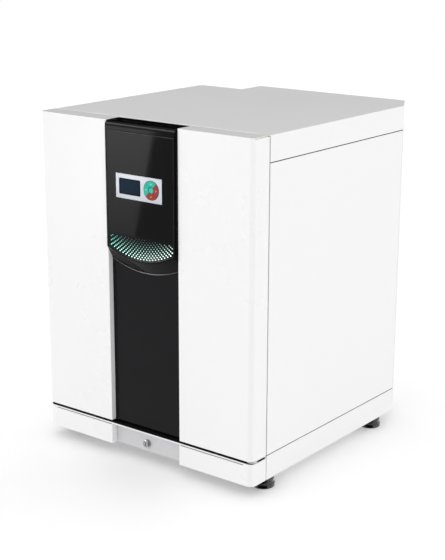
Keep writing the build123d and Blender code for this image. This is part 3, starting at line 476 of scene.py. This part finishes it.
@dataclass(frozen=True)
class Metal:
    """Bare sheet or turned metal with brushing along one direction."""

    name: str
    colour: Colour
    roughness: float = 0.3
    smoother: float = 0.06
    rougher: float = 0.08
    patches: float = 8.0
    shade: float = 0.82
    brushing: Axis = Axis.X
    depth: float = 0.08

    def build(self) -> bpy.types.Material:
        """Builds the material.

        Returns:
            The material.
        """
        material, graph, shader = blank(self.name)
        brushed = graph.effect(Effect.BRUSHED, Stretch=self.brushing.value, Depth=self.depth)
        low, high = self.roughness - self.smoother, self.roughness + self.rougher
        patch = graph.effect(Effect.MOTTLE, Scale=self.patches, Low=low, High=high)
        darker = shifted(self.colour, self.shade)
        tone = graph.blend(brushed.outputs["Mask"], self.colour, darker)
        graph.fill(shader, {
            "Base Color": tone,
            "Roughness": patch.outputs["Value"],
            "Normal": brushed.outputs["Normal"],
            "Metallic": 1.0,
        })
        return material


@dataclass(frozen=True)
class Glow:
    """Lamp light behind the grille, whitest along the lower arc and greener at the left."""

    name: str
    low: Colour
    high: Colour
    strength: float
    unlit: Colour = (0.012, 0.018, 0.020)
    roughness: float = 0.5
    whiteness: float = 0.5
    greening: float = 2.0
    right_power: float = 0.75
    left_gain: float = 0.35

    def build(self) -> bpy.types.Material:
        """Builds the material.

        Returns:
            The material.
        """
        material, graph, shader = blank(self.name)
        lamp = graph.effect(Effect.GLOW)
        mask = lamp.outputs["Mask"]
        left = lamp.outputs["Side"]
        paler = graph.math("SUBTRACT", 1.0, graph.math("POWER", left, self.greening))
        white = graph.math("MULTIPLY", graph.math("POWER", mask, self.whiteness), paler)
        gain = graph.math("MULTIPLY", left, self.left_gain)
        side = graph.math("ADD", self.right_power, gain)
        graph.fill(shader, {
            "Base Color": graph.blend(mask, self.unlit, self.low),
            "Emission Color": graph.blend(white, self.low, self.high),
            "Emission Strength": graph.math(
                "MULTIPLY", graph.math("MULTIPLY", mask, side), self.strength),
            "Roughness": self.roughness,
        })
        return material


@dataclass(frozen=True)
class Screen:
    """A dark display behind a clear window, with a faint paler field inside a black border."""

    name: str
    colour: Colour
    border: Colour
    rim: float = 3.0 * MM
    roughness: float = 0.08
    spread: float = 0.06
    wipes: float = 30.0
    ior: float = 1.12

    def build(self) -> bpy.types.Material:
        """Builds the material.

        Returns:
            The material.
        """
        material, graph, shader = blank(self.name)
        low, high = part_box("display_screen")
        middle = (low + high) / 2
        parts = graph.add("ShaderNodeSeparateXYZ", Vector=graph.place())
        within = []
        for axis, at, width in (
            ("X", middle.x, high.x - low.x),
            ("Z", middle.z, high.z - low.z),
        ):
            away = graph.math("ABSOLUTE", graph.math("SUBTRACT", parts.outputs[axis], at))
            within.append(graph.math("LESS_THAN", away, width / 2 - self.rim))
        inside = graph.math("MULTIPLY", *within)
        graph.feed(shader, "Base Color", graph.blend(inside, self.border, self.colour))
        glassy = self.roughness + self.spread
        wipe = graph.effect(Effect.MOTTLE, Scale=self.wipes, Low=self.roughness, High=glassy)
        graph.feed(shader, "Roughness", wipe.outputs["Value"])
        graph.feed(shader, "IOR", self.ior)
        return material


CABINET_WHITE = Paint("cabinet_white", (0.86, 0.86, 0.86), roughness=0.36)
DOOR_WHITE = Paint("door_white", (0.86, 0.86, 0.865), roughness=0.28)
# Painted shade: the recessed centre panel of the plinth is painted darker than the door's white to
# stand for the shade inside the recess.
RECESS_PAINTED_SHADE = Paint("recess_painted_shade", (0.60, 0.60, 0.61), roughness=0.34)
BLACK_GLOSS = Gloss(
    "black_gloss", (0.0016, 0.0016, 0.0018), roughness=0.05, ior=1.17, edge=4.0 * MM)
PANEL_GLOSS = Gloss("panel_gloss", (0.0012, 0.0012, 0.0013), roughness=0.03, ior=1.18)
BLACK_PANEL = Gloss("black_panel", (0.006, 0.006, 0.007), roughness=0.10, ior=1.2)
GRILLE_BLACK = Gloss("grille_black", (0.0014, 0.0016, 0.0018), roughness=0.10, ior=1.19)
BLACK_TRIM = Moulded("black_trim", (0.002, 0.002, 0.002), roughness=0.7, ior=1.2)
FOOT_BLACK = Gloss("foot_black", (0.004, 0.004, 0.004), roughness=0.08, ior=1.45, coat=0.5)
BEAD_BLACK = Gloss("bead_black", (0.010, 0.010, 0.011), roughness=0.2, ior=1.5)
SEAM_GREY = Moulded("seam_grey", (0.030, 0.030, 0.032), roughness=0.8)
TEAL_MARK = Moulded("teal_mark", (0.26, 0.72, 0.60), roughness=0.4, grain=0.03)
RED_MARK = Moulded("red_mark", (0.62, 0.24, 0.20), roughness=0.4, grain=0.03)
# Painted shadow: the grey of the strips at the floor of the plinth's groove stands for the shadow
# under the lip.
GROOVE_PAINTED_SHADOW = Moulded("groove_painted_shadow", (0.20, 0.20, 0.205), roughness=0.8)
STAINLESS = Metal("stainless", (0.66, 0.66, 0.65), roughness=0.28, brushing=Axis.X)
ZINC = Metal("zinc_steel", (0.58, 0.59, 0.60), roughness=0.34, brushing=Axis.Y)
CHROME = Metal(
    "lock_chrome", (0.40, 0.40, 0.41), roughness=0.14, brushing=Axis.Y, depth=0.01)
SILVER = Metal(
    "plate_silver", (0.50, 0.52, 0.56), roughness=0.32, brushing=Axis.X, depth=0.04)
HEAT_SINK = Metal("heat_sink", (0.75, 0.75, 0.76), roughness=0.30, brushing=Axis.Z)
FOAM = Moulded("foam", (0.74, 0.68, 0.48), roughness=0.9, grain=0.5, scale=500.0)
GASKET = Moulded("gasket_grey", (0.16, 0.16, 0.17), roughness=0.6)
KEY_TEAL = Moulded("key_teal", (0.020, 0.42, 0.31), roughness=0.35, grain=0.05, ior=1.3)
KEY_RED = Moulded("key_red", (0.30, 0.028, 0.022), roughness=0.35, grain=0.05, ior=1.3)
BOARD = Moulded("board_green", (0.02, 0.16, 0.06), roughness=0.4)
MODULE = Moulded("module_white", (0.80, 0.80, 0.78), roughness=0.6)
FAN_BLACK = Moulded("fan_black", (0.020, 0.020, 0.021), roughness=0.45)
NYLON = Moulded("bush_nylon", (0.72, 0.72, 0.68), roughness=0.45)
LINER_PLASTIC = Moulded("liner_plastic", (0.76, 0.76, 0.75), roughness=0.35, grain=0.05)
GLOW = Glow("diffuser_white", (0.012, 0.34, 0.25), (0.85, 1.0, 0.95), 3.6)
SCREEN = Screen("screen_dark", (0.002, 0.014, 0.032), (0.001, 0.002, 0.004))

FEET = ("foot_front_left", "foot_front_right", "foot_rear_left", "foot_rear_right")
EXTRA_FINISHES = (BEAD_BLACK, SEAM_GREY, GROOVE_PAINTED_SHADOW, TEAL_MARK, RED_MARK)

NODE_FINISHES: dict[object, tuple[str, ...]] = {
    CABINET_WHITE: (
        "top_cover", "base_tray", "side_panel_left", "side_panel_right", "rear_panel",
        "rear_housing",
    ),
    DOOR_WHITE: ("door_shell", "plinth_front", "hinge_plates"),
    RECESS_PAINTED_SHADE: ("plinth_centre",),
    BLACK_GLOSS: ("upper_cover",),
    PANEL_GLOSS: ("control_panel",),
    BLACK_PANEL: ("black_panel",),
    GRILLE_BLACK: ("light_grille",),
    BLACK_TRIM: ("door_bottom_trim", "plinth_cap", "mains_inlet"),
    FOOT_BLACK: FEET,
    STAINLESS: (
        "chamber_liner", "front_frame", "air_baffle", "shelf_uprights", "shelf_rails",
        "shelf_lower", "shelf_upper", "temperature_probe",
    ),
    ZINC: ("chassis_floor", "cabinet_screws", "power_supply", "lock_cam"),
    CHROME: ("lock_body", "lock_plug"),
    SILVER: ("display_plate",),
    HEAT_SINK: ("cold_sink", "cold_block", "hot_sink"),
    FOAM: ("insulation", "door_core"),
    GASKET: ("door_gasket",),
    KEY_TEAL: ("key_up", "key_left", "key_centre"),
    KEY_RED: ("key_down", "key_right"),
    BOARD: ("controller_board",),
    MODULE: ("peltier_modules",),
    FAN_BLACK: (
        "circulation_fan_frame", "circulation_fan_rotor", "exhaust_fan_frame",
        "exhaust_fan_rotor", "power_rocker",
    ),
    NYLON: ("hinge_bushes",),
    LINER_PLASTIC: ("door_liner",),
    GLOW: ("light_diffuser",),
    SCREEN: ("display_screen",),
}


def dress_nodes(nodes: dict[str, bpy.types.Object]) -> dict[str, bpy.types.Material]:
    """Gives every CAD node its finish and builds the finishes of the scene's own pieces.

    Args:
        nodes: the frame's nodes, by name.

    Returns:
        The built materials, by finish name.

    Raises:
        ValueError: if a node has no finish.
    """
    made = {finish.name: finish.build() for finish in EXTRA_FINISHES}
    undressed = set(nodes)
    for finish, names in NODE_FINISHES.items():
        material = finish.build()
        made[finish.name] = material
        for name in names:
            mesh = nodes[name].data
            mesh.materials.clear()
            mesh.materials.append(material)
        undressed -= set(names)
        log.info("finish %s on %d nodes", finish.name, len(names))
    if undressed:
        raise ValueError(f"nodes without a finish: {sorted(undressed)}")
    return made


def finish_mesh(name: str, mesh: bmesh.types.BMesh) -> bpy.types.Object:
    """Turns a bmesh into a linked object with smooth shading and sharp corners.

    Args:
        name: the object's name.
        mesh: the built mesh, which is freed.

    Returns:
        The new object.
    """
    bmesh.ops.recalc_face_normals(mesh, faces=mesh.faces)
    data = bpy.data.meshes.new(name)
    mesh.to_mesh(data)
    mesh.free()
    data.shade_smooth()
    data.set_sharp_from_angle(angle=SHARP_ANGLE)
    made = bpy.data.objects.new(name, data)
    bpy.context.scene.collection.objects.link(made)
    return made


def bridge(mesh: bmesh.types.BMesh, rings: list[Ring], closed: bool = False) -> None:
    """Joins neighbouring rings of equal length with four-sided faces.

    Args:
        mesh: the mesh that takes the faces.
        rings: the rings, in order.
        closed: whether the last ring also joins the first.
    """
    pairs = list(zip(rings, rings[1:]))
    if closed:
        pairs.append((rings[-1], rings[0]))
    for first, second in pairs:
        for side in range(len(first)):
            after = (side + 1) % len(first)
            mesh.faces.new((first[side], first[after], second[after], second[side]))


def lathe(name: str, profile: list[Point], centre: Vector, steps: int = 72) -> bpy.types.Object:
    """Turns a profile round a vertical axis.

    Args:
        name: the object's name.
        profile: (radius, height) points in metres, from the bottom up.
        centre: the axis's place, at height zero.
        steps: the number of segments round the axis.

    Returns:
        The new object, shaded smooth by angle.
    """
    mesh = bmesh.new()
    rings = []
    for radius, height in profile:
        ring = []
        for step in range(steps):
            turn = 2 * math.pi * step / steps
            out = Vector((radius * math.cos(turn), radius * math.sin(turn), height))
            ring.append(mesh.verts.new(centre + out))
        rings.append(ring)
    bridge(mesh, rings)
    mesh.faces.new(list(reversed(rings[0])))
    mesh.faces.new(rings[-1])
    return finish_mesh(name, mesh)


def arc(
    half: float, side_level: float, sag: float, depth: float, count: int = 48
) -> list[Vector]:
    """Lists points along an arc that hangs between two equal side levels.

    Args:
        half: half the arc's width.
        side_level: the height of both ends.
        sag: how far the middle hangs below the ends.
        depth: the arc's Y.
        count: the number of steps.

    Returns:
        Points from the left end to the right end.
    """
    radius = (half ** 2 + sag ** 2) / (2 * sag)
    centre = side_level - sag + radius
    points = []
    for step in range(count + 1):
        x = -half + 2 * half * step / count
        points.append(Vector((x, depth, centre - math.sqrt(radius ** 2 - x ** 2))))
    return points


def bead(
    name: str, path: list[Vector], radius: float, closed: bool, sides: int = 10
) -> bpy.types.Object:
    """Sweeps a round bead along a path in a plane that faces the front.

    Args:
        name: the object's name.
        path: the bead's centre line.
        radius: the bead's radius.
        closed: whether the last point joins the first.
        sides: the number of sides of the section.

    Returns:
        The new object.
    """
    mesh = bmesh.new()
    rings = []
    count = len(path)
    for index, point in enumerate(path):
        before = path[index - 1] if closed or index else point
        after = path[(index + 1) % count] if closed or index + 1 < count else point
        along = (after - before).normalized()
        across = along.cross(Vector((0, -1, 0))).normalized()
        ring = []
        for side in range(sides):
            turn = 2 * math.pi * side / sides
            out = across * math.cos(turn) + Vector((0, -math.sin(turn), 0))
            ring.append(mesh.verts.new(point + radius * out))
        rings.append(ring)
    bridge(mesh, rings, closed)
    if not closed:
        mesh.faces.new(rings[0])
        mesh.faces.new(list(reversed(rings[-1])))
    return finish_mesh(name, mesh)


def prism(name: str, outline: list[Point], front: float, back: float) -> bpy.types.Object:
    """Extrudes an outline in X and Z between two depths.

    Args:
        name: the object's name.
        outline: (x, z) points in order round the outline.
        front: the front face's Y.
        back: the back face's Y.

    Returns:
        The new object.
    """
    mesh = bmesh.new()
    near = [mesh.verts.new((x, front, z)) for x, z in outline]
    far = [mesh.verts.new((x, back, z)) for x, z in outline]
    mesh.faces.new(near)
    mesh.faces.new(list(reversed(far)))
    for index in range(len(outline)):
        after = (index + 1) % len(outline)
        mesh.faces.new((near[index], far[index], far[after], near[after]))
    return finish_mesh(name, mesh)


@dataclass
class Feet:
    """Levelling feet: a polished pad with a waist and a threaded stem, in place of the CAD feet."""

    material: bpy.types.Material
    tray_gap: float = 2.0 * MM
    rim: float = 1.5 * MM
    hollow: float = 2.0 * MM
    flange_share: float = 0.38
    waist_share: float = 0.30
    top_share: float = 0.55
    stem: float = 4.85 * MM
    stem_taper: float = 0.8 * MM
    thread: float = 1.5 * MM
    thread_depth: float = 0.5 * MM

    def build(self) -> None:
        """Builds the four feet in place of their nodes."""
        for name in FEET:
            low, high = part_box(name)
            radius = (high.x - low.x) / 2
            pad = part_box("base_tray")[0].z - self.tray_gap
            profile = self.pad_profile(radius, pad)
            turns = int((high.z - pad) / self.thread)
            for turn in range(turns):
                profile.append((self.stem, pad + turn * self.thread))
                profile.append((self.stem - self.thread_depth, pad + (turn + 0.5) * self.thread))
            profile.append((self.stem - self.stem_taper, high.z))
            centre = Vector(((low.x + high.x) / 2, (low.y + high.y) / 2, 0.0))
            foot = lathe(name.replace("foot", "levelling_foot"), profile, centre)
            foot.data.materials.append(self.material)
            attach(foot, name)
            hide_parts(name)
            log.info("foot %s with %d thread turns", foot.name, turns)

    def pad_profile(self, radius: float, height: float) -> list[Point]:
        """Lists the pad's outline.

        Args:
            radius: the pad's radius.
            height: the pad's height.

        Returns:
            (radius, height) points from the floor to the stem.
        """
        side = radius - self.rim
        points = [(side, 0.0)]
        points += self.quarter(side, self.rim, -math.pi / 2)
        points += self.quarter(side, height * self.flange_share - self.rim, 0.0)
        steps = 8
        for step in range(steps + 1):
            share = step / steps
            waist = side - self.hollow * math.sin(math.pi * share)
            points.append((waist, height * (self.flange_share + self.waist_share * share)))
        points += self.quarter(radius - 2 * self.rim, height - self.rim, 0.0)
        points.append((radius * self.top_share, height))
        return points

    def quarter(self, across: float, level: float, start: float) -> list[Point]:
        """Lists points along a quarter of the rim's round.

        Args:
            across: the radius of the round's middle.
            level: the height of the round's middle.
            start: the angle of the first point.

        Returns:
            (radius, height) of the points.
        """
        steps = 5
        turns = [start + math.radians(90 / steps * step) for step in range(steps + 1)]
        return [(across + self.rim * math.cos(t), level + self.rim * math.sin(t)) for t in turns]


@dataclass
class GrilleLight:
    """Domed light-pipe ends in the grille's holes, and the beads round window and lip."""

    glow: bpy.types.Material
    black: bpy.types.Material
    pitch: float = 8.2 * MM
    row: float = 4.6 * MM
    edge: float = 4.0 * MM
    joint: float = 0.2 * MM
    radius: float = 1.35 * MM
    rise: float = 0.35 * MM
    lift: float = 0.02 * MM
    steps: int = 10
    shares: tuple[float, ...] = (1.0, 0.85, 0.5)
    sag: float = 25.0 * MM
    window_radius: float = 0.7 * MM
    window_depth: float = 0.1 * MM
    lip_radius: float = 1.4 * MM
    lip_inset: float = 1.0 * MM
    lip_level: float = 0.6 * MM
    lip_sag: float = 22.4 * MM

    def build(self) -> None:
        """Builds the domes and the beads."""
        low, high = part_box("light_grille")
        half = (high.x - low.x) / 2
        places = self.places(half, low.z, high.z)
        mesh = bmesh.new()
        for x, z in places:
            self.dome(mesh, Vector((x, low.y, z)))
        domes = finish_mesh("light_pipes", mesh)
        domes.data.materials.append(self.glow)
        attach(domes, "door")
        self.beads(low, half)
        log.info("grille light with %d pipes", len(places))

    def places(self, half: float, low: float, high: float) -> list[Point]:
        """Works out the holes' places from the grille's box.

        Args:
            half: half the grille's width.
            low: the grille's lowest level, in the middle.
            high: the grille's top level.

        Returns:
            (x, z) of every hole.
        """
        found = []
        window = half + self.joint
        rows = int((high - low - 2 * self.edge) / self.row) + 1
        columns = int((window - self.edge) / self.pitch)
        for row in range(rows):
            for column in range(-columns, columns + 1):
                x = (column + 0.5 * (row % 2)) * self.pitch
                z = low + self.sag * (x / window) ** 2 + self.edge + row * self.row
                if abs(x) < window - self.edge and z < high - self.edge:
                    found.append((x, z))
        return found

    def dome(self, mesh: bmesh.types.BMesh, place: Vector) -> None:
        """Adds one shallow dome to a mesh.

        Args:
            mesh: the mesh that takes the dome.
            place: the middle of the hole at the grille's face.
        """
        rings = []
        for share in self.shares:
            out = -self.rise * (1.0 - share ** 2) - self.lift
            across = self.radius * share
            ring = []
            for step in range(self.steps):
                turn = 2 * math.pi * step / self.steps
                point = Vector((across * math.cos(turn), out, across * math.sin(turn)))
                ring.append(mesh.verts.new(place + point))
            rings.append(ring)
        bridge(mesh, rings)
        mesh.faces.new(rings[-1])

    def beads(self, low: Vector, half: float) -> None:
        """Adds the bead round panel and grille and the rolled edge of the cover's lip.

        Args:
            low: the grille's low corner.
            half: half the grille's width.
        """
        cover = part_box("upper_cover")
        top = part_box("control_panel")[1].z
        depth = low.y + self.window_depth
        window = arc(half, low.z + self.sag, self.sag, depth)
        window.append(Vector((half, depth, top)))
        window.append(Vector((-half, depth, top)))
        window_bead = bead("window_bead", window, self.window_radius, True)
        lip_half = (cover[1].x - cover[0].x) / 2 - self.lip_inset
        lip_ends = cover[0].z + self.lip_level + self.lip_sag
        lip_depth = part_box("black_panel")[0].y - self.lip_radius
        lip_path = arc(lip_half, lip_ends, self.lip_sag, lip_depth)
        lip_bead = bead("lip_bead", lip_path, self.lip_radius, False)
        for made in (window_bead, lip_bead):
            made.data.materials.append(self.black)
            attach(made, "door")


@dataclass
class Keypad:
    """A black ring round the keypad, painted shade standing in for its dark, shadowed gap, and
    raised marks on its keys.
    """

    black: bpy.types.Material
    teal: bpy.types.Material
    red: bpy.types.Material
    ring_gap: float = 0.5 * MM
    ring_radius: float = 0.6 * MM
    reach: float = 0.68
    mark: float = 2.4 * MM
    mark_back: float = 0.6
    mark_rise: float = 0.15 * MM
    dot: float = 3.0 * MM
    dot_radius: float = 0.35 * MM

    def build(self) -> None:
        """Builds the ring, the four arrowheads and the centre's ring."""
        low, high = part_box("key_centre")
        middle = (low + high) / 2
        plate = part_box("display_plate")[0].y
        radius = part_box("key_right")[1].x - middle.x
        # Painted shade: the black ring on the plate stands in for the dark, shadowed gap round the
        # keypad.
        circle = self.circle(middle, radius + self.ring_gap, plate)
        ring = bead("keypad_shadow_ring", circle, self.ring_radius, True)
        ring.data.materials.append(self.black)
        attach(ring, "door")
        for name, turn, shade in (
            ("key_right", 0, self.red),
            ("key_up", 90, self.teal),
            ("key_left", 180, self.teal),
            ("key_down", 270, self.red),
        ):
            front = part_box(name)[0].y
            outline = self.arrow(middle, turn, radius * self.reach)
            arrow = prism(name.replace("key", "mark"), outline, front - self.mark_rise, front)
            arrow.data.materials.append(shade)
            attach(arrow, name)
        circle = self.circle(middle, self.dot, low.y)
        dot = bead("mark_centre", circle, self.dot_radius, True)
        dot.data.materials.append(self.teal)
        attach(dot, "key_centre")
        log.info("keypad with a %.1f mm ring", radius / MM)

    def circle(self, middle: Vector, radius: float, depth: float, steps: int = 56) -> list[Vector]:
        """Lists points round a circle that faces the front.

        Args:
            middle: the circle's middle.
            radius: the circle's radius.
            depth: the circle's Y.
            steps: the number of points.

        Returns:
            The points.
        """
        points = []
        for step in range(steps):
            turn = 2 * math.pi * step / steps
            x = middle.x + radius * math.cos(turn)
            points.append(Vector((x, depth, middle.z + radius * math.sin(turn))))
        return points

    def arrow(self, middle: Vector, turn: float, reach: float) -> list[Point]:
        """Lists the corners of an arrowhead that points away from the middle.

        Args:
            middle: the keypad's middle.
            turn: the direction in degrees.
            reach: the arrowhead's distance from the middle.

        Returns:
            (x, z) of the three corners.
        """
        cos, sin = math.cos(math.radians(turn)), math.sin(math.radians(turn))
        points = []
        for out, side in ((1.0, 0.0), (-self.mark_back, 1.0), (-self.mark_back, -1.0)):
            along = reach + out * self.mark
            x = along * cos - side * self.mark * sin
            z = along * sin + side * self.mark * cos
            points.append((middle.x + x, middle.z + z))
        return points


@dataclass
class Seams:
    """Dark sealing strips in the level joints between the panels, and grey strips in the plinth's
    groove as painted shadow under its lip.
    """

    material: bpy.types.Material
    groove: bpy.types.Material
    back: float = 0.7 * MM
    wall: float = 0.6 * MM
    slant: float = 42.5 * MM
    sharpest: float = 0.3
    lip_wall: float = 2.8 * MM
    groove_height: float = 2.3 * MM
    groove_depth: float = 1.6 * MM
    groove_wall: float = 0.3 * MM
    groove_end: float = 23.5 * MM
    groove_start: float = 3.4 * MM

    def build(self) -> None:
        """Builds the plinth's painted-shadow strips and one strip round the cabinet at each joint.
        """
        self.groove_shadow_strips()
        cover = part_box("top_cover")
        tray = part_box("base_tray")
        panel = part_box("side_panel_right")
        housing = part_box("rear_housing")
        plan = [
            (cover[0].x, cover[0].y),
            (cover[0].x, panel[1].y),
            (housing[0].x, panel[1].y),
            (housing[0].x, housing[1].y),
            (cover[1].x - self.slant, housing[1].y),
            (cover[1].x, panel[1].y),
            (cover[1].x, cover[0].y),
        ]
        for name, low, high in (
            ("upper_seam", panel[1].z, cover[0].z),
            ("lower_seam", tray[1].z, panel[0].z),
        ):
            strip = self.strip(name, plan, low, high)
            strip.data.materials.append(self.material)
            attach(strip, "cabinet")
            log.info("seam %s", name)

    def groove_shadow_strips(self) -> None:
        """Builds grey strips in the groove under the plinth's lip, on both sides of the recess, as
        painted shadow of the lip.
        """
        low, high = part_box("plinth_front")
        top = high.z - self.lip_wall
        bottom = top - self.groove_height
        deep = low.y + self.groove_depth
        end = high.x - self.groove_end
        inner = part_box("plinth_centre")[1].x + self.groove_start
        for name, first, second in (("groove_shadow_left", -end, -inner), ("groove_shadow_right", inner, end)):
            outline = [(first, bottom), (second, bottom), (second, top), (first, top)]
            strip = prism(name, outline, deep - self.groove_wall, deep)
            strip.data.materials.append(self.groove)
            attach(strip, "cabinet")
            log.info("strip %s", name)

    def strip(self, name: str, plan: list[Point], low: float, high: float) -> bpy.types.Object:
        """Builds a standing strip along an open plan line.

        Args:
            name: the object's name.
            plan: (x, y) points from the front left round the back to the front right.
            low: the strip's lower level.
            high: the strip's upper level.

        Returns:
            The new object.
        """
        mesh = bmesh.new()
        rings = []
        for index, (x, y) in enumerate(plan):
            before = Vector(plan[max(index - 1, 0)])
            after = Vector(plan[min(index + 1, len(plan) - 1)])
            here = Vector((x, y))
            first = (here - before).normalized() if index else (after - here).normalized()
            second = (after - here).normalized() if index < len(plan) - 1 else first
            inward = Vector((first.y + second.y, -first.x - second.x)).normalized()
            stretch = 1.0 / max(inward.dot(Vector((first.y, -first.x))), self.sharpest)
            ring = []
            for depth, level in ((0, low), (0, high), (self.wall, high), (self.wall, low)):
                place = here + inward * (self.back + depth) * stretch
                ring.append(mesh.verts.new((place.x, place.y, level)))
            rings.append(ring)
        bridge(mesh, rings)
        mesh.faces.new(rings[0])
        mesh.faces.new(list(reversed(rings[-1])))
        return finish_mesh(name, mesh)


@dataclass(frozen=True)
class Card:
    """A studio card that only mirror reflections see."""

    name: str
    corners: tuple[tuple[float, float, float], ...]
    low: float
    high: float

    def build(self) -> None:
        """Builds the card with a glow that runs from its lower to its upper edge."""
        mesh = bmesh.new()
        mesh.faces.new([mesh.verts.new(corner) for corner in self.corners])
        bmesh.ops.subdivide_edges(mesh, edges=mesh.edges[:], cuts=3, use_grid_fill=True)
        card = finish_mesh(self.name, mesh)
        material = bpy.data.materials.new(f"{self.name}_look")
        material.use_nodes = True
        material.node_tree.nodes.clear()
        graph = Graph(material.node_tree)
        parts = graph.add("ShaderNodeSeparateXYZ", Vector=graph.place())
        levels = [corner[2] for corner in self.corners]
        fade = graph.add(
            "ShaderNodeMapRange", Value=parts.outputs["Z"],
            From_Min=min(levels), From_Max=max(levels), To_Min=self.low, To_Max=self.high)
        glow = graph.add("ShaderNodeEmission", Color=WHITE, Strength=fade.outputs[0])
        graph.add("ShaderNodeOutputMaterial", Surface=glow.outputs[0])
        card.data.materials.append(material)
        card.visible_camera = card.visible_diffuse = False
        card.visible_transmission = card.visible_shadow = False
        log.info("card %s", self.name)


CARDS = (
    # Lights the diagonal reflection on the control panel.
    Card("cover_card", (
        (-1.319, -1.623, 0.504), (-1.062, -1.623, 0.528),
        (-1.170, -1.623, 0.082), (-1.333, -1.623, 0.057)), 2.4, 6.0),
    # Lights the band along the cover's bullnose.
    Card("bullnose_card", (
        (-2.6, -1.0, 1.35), (-0.9, -2.4, 1.35), (-0.9, -2.4, 2.3), (-2.6, -1.0, 2.3)), 9.0, 14.0),
    # Keeps the top of the bullnose black.
    Card("top_flag", (
        (-5.0, -0.6, 0.9), (0.6, 4.4, 0.9), (0.6, 4.4, 5.0), (-5.0, -0.6, 5.0)), 0.0, 0.0),
    # Darkens the door's rounded corner.
    Card("corner_flag", (
        (-0.9, -4.2, -2.5), (4.0, -1.2, -2.5), (4.0, -1.2, 1.6), (-0.9, -4.2, 1.6)), 0.0, 0.0),
)


@dataclass
class Studio:
    """Floor, cards and surroundings."""

    floor_size: float = 12.0
    floor_parts: int = 8
    floor_colour: Colour = (0.90, 0.90, 0.90)
    floor_glow: float = 0.14
    roughness: float = 0.55
    spread: float = 0.10
    patches: float = 2.0
    horizon: float = 1.09
    zenith: float = 1.00

    def build(self) -> None:
        """Builds the floor, the cards and the world."""
        mesh = bmesh.new()
        bmesh.ops.create_grid(
            mesh,
            x_segments=self.floor_parts, y_segments=self.floor_parts, size=self.floor_size / 2)
        floor = finish_mesh("floor", mesh)
        material, graph, shader = blank("floor_white")
        high = self.roughness + self.spread
        patch = graph.effect(Effect.MOTTLE, Scale=self.patches, Low=self.roughness, High=high)
        graph.fill(shader, {
            "Base Color": (*self.floor_colour, 1.0),
            "Roughness": patch.outputs["Value"],
            "Emission Color": WHITE,
            "Emission Strength": self.floor_glow,
        })
        floor.data.materials.append(material)
        floor.visible_glossy = False
        for card in CARDS:
            card.build()
        self.world()
        log.info("studio with a %.0f m floor", self.floor_size)

    def world(self) -> None:
        """Builds soft light, dimmer overhead, that camera and mirror rays see as plain white."""
        world = bpy.data.worlds.new("studio")
        bpy.context.scene.world = world
        world.use_nodes = True
        world.node_tree.nodes.clear()
        graph = Graph(world.node_tree)
        way = graph.add("ShaderNodeTexCoord").outputs["Generated"]
        parts = graph.add("ShaderNodeSeparateXYZ", Vector=way)
        rise = graph.add("ShaderNodeClamp", Value=parts.outputs["Z"])
        change = graph.math("MULTIPLY", rise.outputs[0], self.zenith - self.horizon)
        light = graph.math("ADD", self.horizon, change)
        soft = graph.add("ShaderNodeBackground", Color=WHITE, Strength=light)
        plain = graph.add("ShaderNodeBackground", Color=WHITE, Strength=1.0)
        path = graph.add("ShaderNodeLightPath")
        seen = path.outputs["Is Camera Ray"]
        for ray in ("Is Glossy Ray", "Is Transmission Ray"):
            seen = graph.math("MAXIMUM", seen, path.outputs[ray])
        mix = graph.tree.nodes.new("ShaderNodeMixShader")
        for number, value in enumerate((seen, soft.outputs[0], plain.outputs[0])):
            graph.feed(mix, number, value)
        graph.add("ShaderNodeOutputWorld", Surface=mix.outputs[0])


@dataclass(frozen=True)
class Viewpoint:
    """The photograph's camera, as fitted to the cabinet's edges."""

    place: tuple[float, float, float] = (1.7670, -2.3328, 1.1762)
    yaw: float = 0.6570
    pitch: float = -0.2747
    roll: float = 0.0029
    lens: float = 84.67
    sensor: float = 36.0

    def build(self) -> None:
        """Makes the scene's camera."""
        data = bpy.data.cameras.new("camera")
        data.lens = self.lens
        data.sensor_width = self.sensor
        camera = bpy.data.objects.new("camera", data)
        bpy.context.scene.collection.objects.link(camera)
        ahead = Vector((
            -math.sin(self.yaw) * math.cos(self.pitch),
            math.cos(self.yaw) * math.cos(self.pitch),
            math.sin(self.pitch),
        ))
        right = Vector((math.cos(self.yaw), math.sin(self.yaw), 0.0))
        up = right.cross(ahead)
        tilted = right * math.cos(self.roll) + up * math.sin(self.roll)
        above = up * math.cos(self.roll) - right * math.sin(self.roll)
        turn = Matrix((tilted, above, -ahead)).transposed()
        camera.matrix_world = Matrix.Translation(self.place) @ turn.to_4x4()
        bpy.context.scene.camera = camera
        log.info("camera at %s", self.place)


@dataclass(frozen=True)
class KeyLight:
    """One large soft lamp from the front right, above the cabinet."""

    place: tuple[float, float, float] = (2.6, -2.9, 2.2)
    target: tuple[float, float, float] = (0.0, 0.0, 0.4)
    width: float = 2.6
    height: float = 2.0
    power: float = 5.0

    def build(self) -> None:
        """Makes the lamp and turns it to the target."""
        data = bpy.data.lights.new("key", "AREA")
        data.shape = "RECTANGLE"
        data.size = self.width
        data.size_y = self.height
        data.energy = self.power
        lamp = bpy.data.objects.new("key", data)
        bpy.context.scene.collection.objects.link(lamp)
        lamp.location = self.place
        toward = Vector(self.target) - lamp.location
        lamp.rotation_mode = "QUATERNION"
        lamp.rotation_quaternion = toward.to_track_quat("-Z", "Y")
        log.info("key light of %.0f W", self.power)


def main() -> None:
    """Builds the dressed scene round the CAD frame."""
    logging.basicConfig(level=logging.INFO, format="%(name)s: %(message)s")
    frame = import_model()
    bpy.context.scene.view_settings.view_transform = "Standard"
    for make in (make_peel, make_mottle, make_brushed, make_grain, make_glow_field):
        make()
    materials = dress_nodes(frame["nodes"])
    Feet(materials["foot_black"]).build()
    GrilleLight(materials["diffuser_white"], materials["bead_black"]).build()
    Keypad(materials["bead_black"], materials["teal_mark"], materials["red_mark"]).build()
    Seams(materials["seam_grey"], materials["groove_painted_shadow"]).build()
    Studio().build()
    KeyLight().build()
    Viewpoint().build()


if __name__ == "__main__":
    main()
